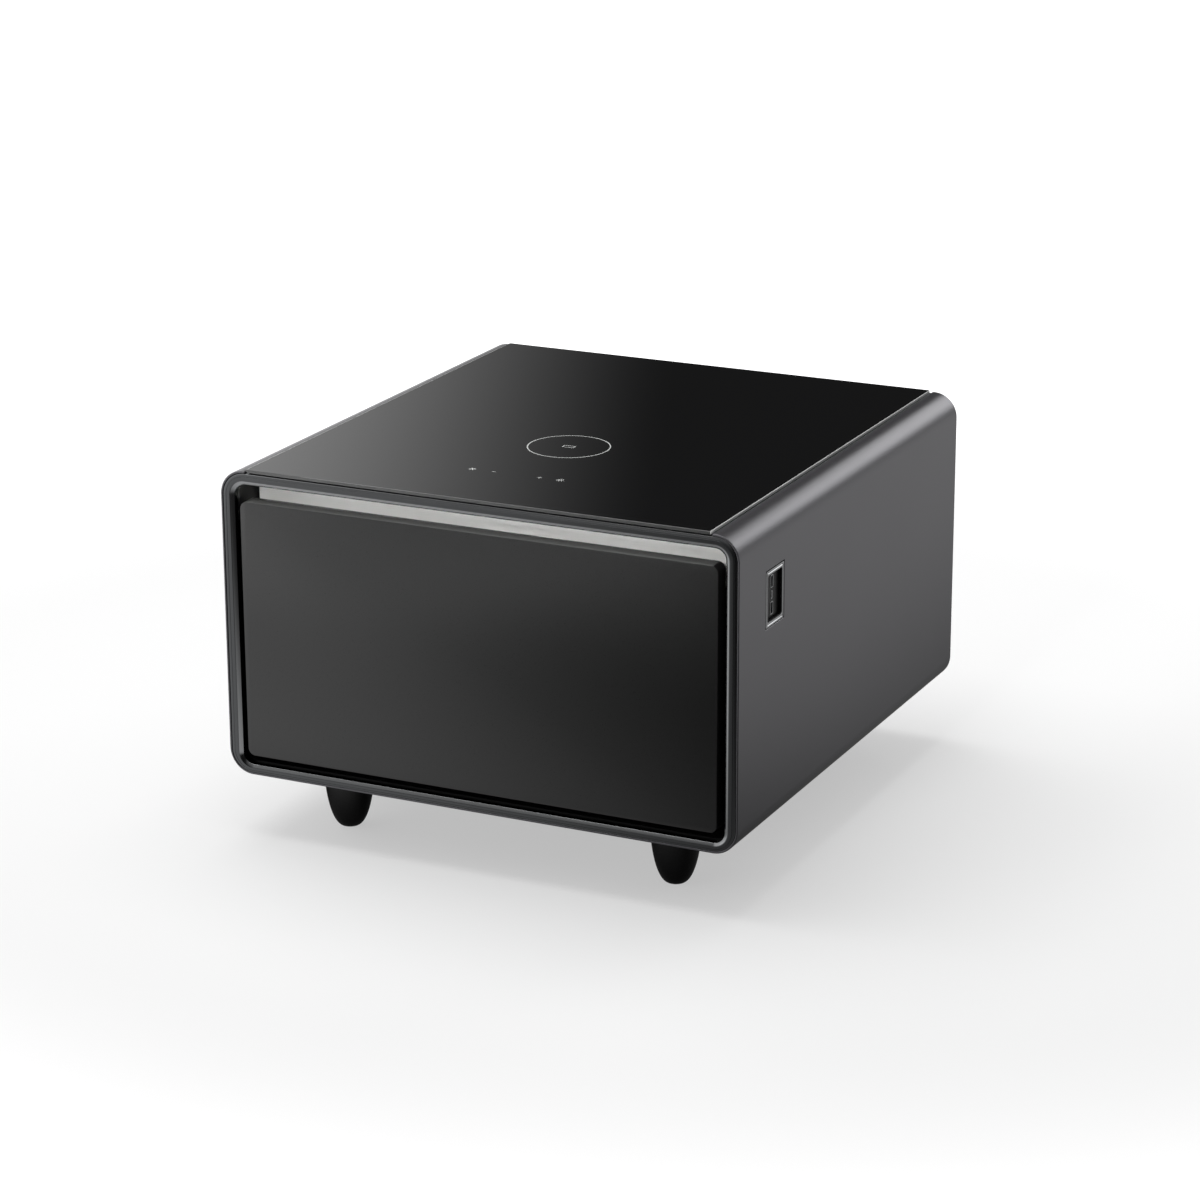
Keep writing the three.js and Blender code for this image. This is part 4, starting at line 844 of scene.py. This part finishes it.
def outerShell(facts, hole, pick):
    shape = bmesh.new()
    made = bmesh.ops.create_cube(shape, size=1)["verts"]
    height = facts["high"] - facts["low"]
    long = facts["rear"] - front
    middle = (0, facts["rear"] - long / 2, facts["low"] + height / 2)
    bmesh.ops.scale(shape, vec=(facts["half"] * 2, long, height), verts=made)
    bmesh.ops.translate(shape, vec=middle, verts=made)
    folds = [e for e in shape.edges if abs(e.verts[0].co.y - e.verts[1].co.y) > long / 2]
    bmesh.ops.bevel(
        shape, geom=folds, offset=facts["corner"], segments=facts["steps"],
        profile=0.5, affect="EDGES", material=-1,
    )
    ends = [f for f in shape.faces if abs(f.normal.y) > pick["flat"]]
    bmesh.ops.delete(shape, geom=ends, context="FACES_ONLY")

    def cutAt(place, normal, faces):
        edges = list({e for f in faces for e in f.edges})
        verts = list({v for f in faces for v in f.verts})
        geom = list(faces) + edges + verts
        bmesh.ops.bisect_plane(shape, geom=geom, plane_co=place, plane_no=normal, dist=hair)

    def roof():
        level = facts["high"] - pick["roofDepth"]
        upper = [f for f in shape.faces if f.calc_center_median().z > level]
        return [f for f in upper if f.normal.z > pick["roofTilt"]]

    for step in (-1, 1):
        cutAt((step * facts["seatHalf"], 0, 0), (1, 0, 0), roof())
    seat = [f for f in roof() if abs(f.calc_center_median().x) < facts["seatHalf"]]
    bmesh.ops.delete(shape, geom=seat, context="FACES")

    def side():
        return [f for f in shape.faces if f.normal.x > pick["flat"]]

    def inHole(face):
        at = face.calc_center_median()
        return abs(at.y - hole["y"]) < pick["near"] and abs(at.z - hole["z"]) < pick["near"]

    for step in (-1, 1):
        cutAt((0, hole["y"] + step * hole["halfAcross"], 0), (0, 1, 0), side())
        cutAt((0, 0, hole["z"] + step * hole["halfUp"]), (0, 0, 1), side())
    bmesh.ops.delete(shape, geom=[f for f in side() if inHole(f)], context="FACES")
    addPiece(
        "outerShell", shape, "shell_paint", "cabinet", ["outer_shell"],
        wall=facts["wall"], edge=facts["edge"], edgeSteps=3,
    )


def roofPan(facts):  # the sunk sheet that the glass is bonded to
    shape = bmesh.new()
    half = facts["seatHalf"] + facts["wall"] * facts["lapShare"]
    level = facts["high"] - facts["seatDrop"]
    low = (-half, front + facts["notch"], level - facts["wall"])
    addBlock(shape, low, (half, facts["rear"], level), facts["panEdge"])
    addPiece("roofPan", shape, "shell_paint", "cabinet")


outerShell(wrap, socketHole, picking)
roofPan(wrap)


# Front frame: two bevels that meet in a flat ridge with fine lines along it
trim = {
    "outer": (-0.3222, 0.3222, 0.0803, 0.4447, 0.0272),
    "inner": (-0.308, 0.308, 0.0899, 0.4308, 0.0135),
    "depth": 0.012,
    "section": [  # share of the way in, and drop below the ridge
        (0.0, 0.0016), (0.02, 0.0009), (0.06, 0.0004), (0.12, 0.0002), (0.27, 0.00012),
        (0.29, 0.0004), (0.31, 0.00006), (0.58, 0.0), (0.61, 0.00005), (0.64, 0.0002),
        (0.94, 0.0023), (0.98, 0.0028), (1.0, 0.0040),
    ],
    "steps": 16,
    "sharp": 22,
}


def between(one, two, share):
    return tuple(a + (b - a) * share for a, b in zip(one, two))


def frontFrame(facts):
    shape = bmesh.new()
    outer, inner = facts["outer"], facts["inner"]
    levels = [(outer, -facts["depth"])]
    levels += [(between(outer, inner, share), -drop) for share, drop in facts["section"]]
    levels.append((inner, -facts["depth"]))
    stack(shape, levels, closed=True, steps=facts["steps"])
    standUp(shape)
    addPiece("frontFrame", shape, "frame_metal", "cabinet", ["front_frame"], smooth=facts["sharp"])


frontFrame(trim)


# Black tunnel round the drawer front
tunnel = {
    "opening": (-0.310, 0.310, 0.0915, 0.4325, 0.015),
    "flange": 0.0102,
    "wall": 0.002,
    "from": 0.0123,
    "to": 0.0677,
}


def mouthSurround(facts):
    shape = bmesh.new()
    opening, wall = facts["opening"], facts["wall"]
    near, far = -facts["from"], -facts["to"]
    flange, outside = grow(opening, facts["flange"]), grow(opening, wall)
    stack(shape, [
        (opening, near),
        (flange, near),
        (flange, near - wall),
        (outside, near - wall),
        (outside, far),
        (opening, far),
    ], closed=True)
    standUp(shape)
    addPiece("mouthSurround", shape, "black_plastic", "cabinet", ["mouth_surround", "mouth_header"])


mouthSurround(tunnel)


# Glass top, dark behind, its edge pale where the print stops short and pale enough to be a painted
# highlight along the sides and rear; along the front it is kept almost dark
pane = {
    "outline": (-0.29075, 0.29075, -0.335, 0.331, 0.003),
    "under": 0.446,
    "top": 0.45,
    "chamfer": 0.0006,
    "steps": 6,
    "sharp": 20,
}


def glassTop(facts):
    shape = bmesh.new()
    outline, under, top, eased = facts["outline"], facts["under"], facts["top"], facts["chamfer"]
    levels = [(grow(outline, -eased), under), (outline, under + eased)]
    stack(shape, levels + easedRim(outline, top, eased), steps=facts["steps"])
    addPiece("glassTop", shape, "black_glass", "cabinet", ["glass_top"], smooth=facts["sharp"])


glassTop(pane)


# Drawer front
face = {
    "outline": (-0.300, 0.300, 0.1018, 0.4115, 0.009),
    "deep": 0.020,
    "wall": 0.003,
    "edge": 0.0009,
    "steps": 10,
    "sharp": 30,
}


def drawerPanel(facts):
    shape = bmesh.new()
    outline, wall, deep = facts["outline"], facts["wall"], facts["deep"]
    inside = grow(outline, -wall)
    levels = [(inside, -wall), (inside, -deep), (outline, -deep)]
    stack(shape, levels + easedRim(outline, 0, facts["edge"]), steps=facts["steps"])
    standUp(shape)
    addPiece("drawerPanel", shape, "panel_black", "drawer", ["drawer_panel"], smooth=facts["sharp"])


drawerPanel(face)


# Finger channel behind the panel's top edge: a pressed section on a wall as wide as the tunnel
channel = {
    "half": 0.295,
    "back": (-0.3075, 0.3075, 0.3775, 0.4275, 0.0125),
    "floor": 0.3775,
    "entry": 0.4105,
    "frontY": -0.3147,
    "rearY": -0.2768,
    "sheet": 0.0015,
    "bend": 0.003,
    "lift": 0.0002,  # keeps the floor's lower edge off the wall's
    "edge": 0.0003,
    "steps": 8,
}


def pullChannel(facts):
    shape = bmesh.new()
    half, sheet, low, bend = facts["half"], facts["sheet"], facts["floor"], facts["bend"]
    near, far = facts["frontY"], facts["rearY"]
    stack(shape, [(facts["back"], 0), (facts["back"], sheet)], steps=facts["steps"])
    standUp(shape, far)

    def bent(radius):  # round the bend between the front lip and the floor
        y, z = near + bend, low + bend
        return [(y - radius * math.cos(turn), z - radius * math.sin(turn)) for turn in quarterTurn()]

    lower = [(near, facts["entry"]), *bent(bend), (far - sheet, low + facts["lift"])]
    upper = [(far - sheet, low + sheet), *bent(bend - sheet)[::-1], (near + sheet, facts["entry"])]
    verts = [shape.verts.new((-half, y, z)) for y, z in lower + upper]
    made = bmesh.ops.extrude_face_region(shape, geom=[shape.faces.new(verts)])["geom"]
    moved = [g for g in made if isinstance(g, bmesh.types.BMVert)]
    bmesh.ops.translate(shape, vec=(2 * half, 0, 0), verts=moved)
    addPiece("pullChannel", shape, "brushed_aluminium", "drawer", ["pull_channel"], edge=facts["edge"])


pullChannel(channel)


# Moulded tub with a rolled rim and rounded floor edges
tub = {
    "rim": (-0.2663, 0.2663, -0.2724, 0.0996, 0.024),
    "neck": (-0.26325, 0.26325, -0.2699, 0.0971, 0.024),
    "draft": 0.009,
    "wall": 0.0025,
    "floor": 0.129,
    "top": 0.3925,
    "lip": 0.003,
    "eased": 0.0007,
    "fillet": 0.010,
    "steps": 10,
}


def drawerTub(facts):
    neck, rim, wall, eased = facts["neck"], facts["rim"], facts["wall"], facts["eased"]
    floor, top, fillet = facts["floor"], facts["top"], facts["fillet"]
    under = top - facts["lip"]
    base = grow(neck, -facts["draft"])

    def rounding(outline, low, radius):
        insets = [radius * (1 - math.sin(turn)) for turn in quarterTurn()]
        rises = [radius * (1 - math.cos(turn)) for turn in quarterTurn()]
        return [(grow(outline, -inset), low + rise) for inset, rise in zip(insets, rises)]

    levels = rounding(base, floor, fillet)
    levels += [(neck, under), (grow(rim, -eased), under), (rim, under + eased)]
    levels += easedRim(rim, top, eased)
    levels += easedRim(grow(neck, -wall), top, eased, -1)[::-1]
    levels += rounding(grow(base, -wall), floor + wall, fillet - wall)[::-1]
    shape = bmesh.new()
    stack(shape, levels, steps=facts["steps"])
    addPiece("drawerTub", shape, "white_plastic", "drawer", ["drawer_tub"])


drawerTub(tub)


# Feet: turned bullets with a soft tip
bullet = {
    "x": 0.2127,
    "y": 0.2515,
    "top": 0.030,
    "tip": 0.0083,
    "tall": 0.0777,
    "tipEase": 0.0012,
    "steps": 56,
    "rings": 22,
    "sharp": 40,
}


def foot(end, side, place, facts):
    shape = bmesh.new()
    tip, tall, bulge = facts["tip"], facts["tall"], facts["top"] - facts["tip"]
    profile = [(0, 0), (tip - facts["tipEase"], 0)]
    for turn in quarterTurn(facts["rings"])[1:]:
        profile.append((tip + bulge * math.sin(turn), tall * (1 - math.cos(turn))))
    profile.append((0, tall))
    addTurned(shape, profile, facts["steps"], place)
    node = "foot_" + end.lower() + "_" + side.lower()
    addPiece("foot" + end + side, shape, "foot_plastic", "cabinet", [node], smooth=facts["sharp"])


for end, y in (("Front", -bullet["y"]), ("Rear", bullet["y"])):
    for side, x in (("Left", -bullet["x"]), ("Right", bullet["x"])):
        foot(end, side, (x, y, 0), bullet)


# Charging socket in the right side: a grooved bezel and the dark sleeve in its opening
socket = {
    "place": (0.325, -0.2355, 0.354),
    "outer": (-0.025, 0.025, -0.033, 0.033, 0.0025),
    "opening": (-0.020, 0.020, -0.027, 0.027, 0.0025),
    "bezelDeep": 0.007,
    "bezelEdge": 0.0007,
    "groove": 0.0005,
    "grooveHalf": 0.0007,
    "sleeve": 0.0004,
    "sleeveDropShare": 1.6,
    "steps": 5,
    "sharp": 30,
}


def standOnSide(shape, place):  # local x to the rear, local y up, local z out of the right side
    turn = Matrix(((0, 0, 1), (1, 0, 0), (0, 1, 0)))
    bmesh.ops.transform(shape, matrix=turn.to_4x4(), verts=shape.verts)
    bmesh.ops.translate(shape, vec=place, verts=shape.verts)


def socketBezel(facts):
    shape = bmesh.new()
    outer, opening, half = facts["outer"], facts["opening"], facts["grooveHalf"]
    edge, deep = facts["bezelEdge"], facts["bezelDeep"]
    middle = between(outer, opening, 0.5)
    levels = [(outer, -deep), *easedRim(outer, 0, edge)]
    levels += [(grow(middle, half), 0), (middle, -facts["groove"]), (grow(middle, -half), 0)]
    levels += [*easedRim(opening, 0, edge, -1)[::-1], (opening, -deep)]
    stack(shape, levels, closed=True, steps=facts["steps"])
    standOnSide(shape, facts["place"])
    addPiece("socketBezel", shape, "frame_metal", "cabinet", ["socket_bezel"], smooth=facts["sharp"])


def socketSleeve(facts):
    shape = bmesh.new()
    opening, deep = facts["opening"], facts["bezelDeep"]
    lip = -facts["bezelEdge"] * facts["sleeveDropShare"]
    inside = grow(opening, -facts["sleeve"])
    levels = [(opening, -deep), (opening, lip), (inside, lip), (inside, -deep)]
    stack(shape, levels, closed=True, steps=facts["steps"])
    standOnSide(shape, facts["place"])
    addPiece("socketSleeve", shape, "black_plastic", "cabinet", smooth=facts["sharp"])


socketBezel(socket)
socketSleeve(socket)


# Two wide ports and a small rounded one between them, in a plate set back from the bezel
widePort = {"half": (0.0034, 0.0072, 0.0007), "tongue": (0.0009, 0.0058)}
smallPort = {"half": (0.0019, 0.0045, 0.0018), "tongue": (0.0004, 0.0032)}
ports = {
    "Lower": {"up": -0.0155, **widePort},
    "Middle": {"up": 0, **smallPort},
    "Upper": {"up": 0.0155, **widePort},
}
plate = {
    "place": socket["place"],
    "half": (0.0190, 0.0260),
    "slot": 0.0034,
    "back": -0.0106,
    "face": -0.0046,
    "rim": -0.0041,
    "tongue": -0.0054,
    "sheet": 0.0005,
    "tongueEdge": 0.0002,
    "steps": 5,
    "sharp": 30,
}


def socketPlate(table, facts):
    across, up = facts["half"]
    slot, back, face = facts["slot"], facts["back"], facts["face"]
    shape = bmesh.new()
    for low, high in ((-across, -slot), (slot, across)):
        addBlock(shape, (low, -up, back), (high, up, face))
    edges = [-up]
    for port in table.values():
        narrow, tall = port["half"][:2]
        under, over = port["up"] - tall, port["up"] + tall
        edges += [under, over]
        if narrow < slot:
            for low, high in ((-slot, -narrow), (narrow, slot)):
                addBlock(shape, (low, under, back), (high, over, face))
    edges.append(up)
    for low, high in zip(edges[::2], edges[1::2]):
        addBlock(shape, (-slot, low, back), (slot, high, face))
    standOnSide(shape, facts["place"])
    addPiece("socketPlate", shape, "black_plastic", "cabinet")


def portCan(name, port, facts):
    across, up, corner = port["half"]
    middle = port["up"]
    outer = (-across, across, middle - up, middle + up, corner)
    inner = grow(outer, -facts["sheet"])
    shape = bmesh.new()
    back, rim = facts["back"], facts["rim"]
    levels = [(outer, back), (outer, rim), (inner, rim), (inner, back)]
    stack(shape, levels, closed=True, steps=facts["steps"])
    standOnSide(shape, facts["place"])
    addPiece("port" + name, shape, "zinc_steel", "cabinet", smooth=facts["sharp"])


def portTongue(name, port, facts):
    across, up = port["tongue"]
    middle = port["up"]
    low, high = (-across, middle - up, facts["back"]), (across, middle + up, facts["tongue"])
    shape = bmesh.new()
    addBlock(shape, low, high, facts["tongueEdge"])
    standOnSide(shape, facts["place"])
    addPiece("portTongue" + name, shape, "black_plastic", "cabinet", smooth=facts["sharp"])


socketPlate(ports, plate)
for name, port in reversed(ports.items()):
    portCan(name, port, plate)
    portTongue(name, port, plate)
print("pieces made")


def dressNodes():
    slots = {part["node"]: part["material_slot"] for part in frame["record"]["subparts"]}
    for name, obj in nodes.items():
        obj.data.materials.clear()
        obj.data.materials.append(finishes[slots[name]])


dressNodes()
print("nodes dressed")
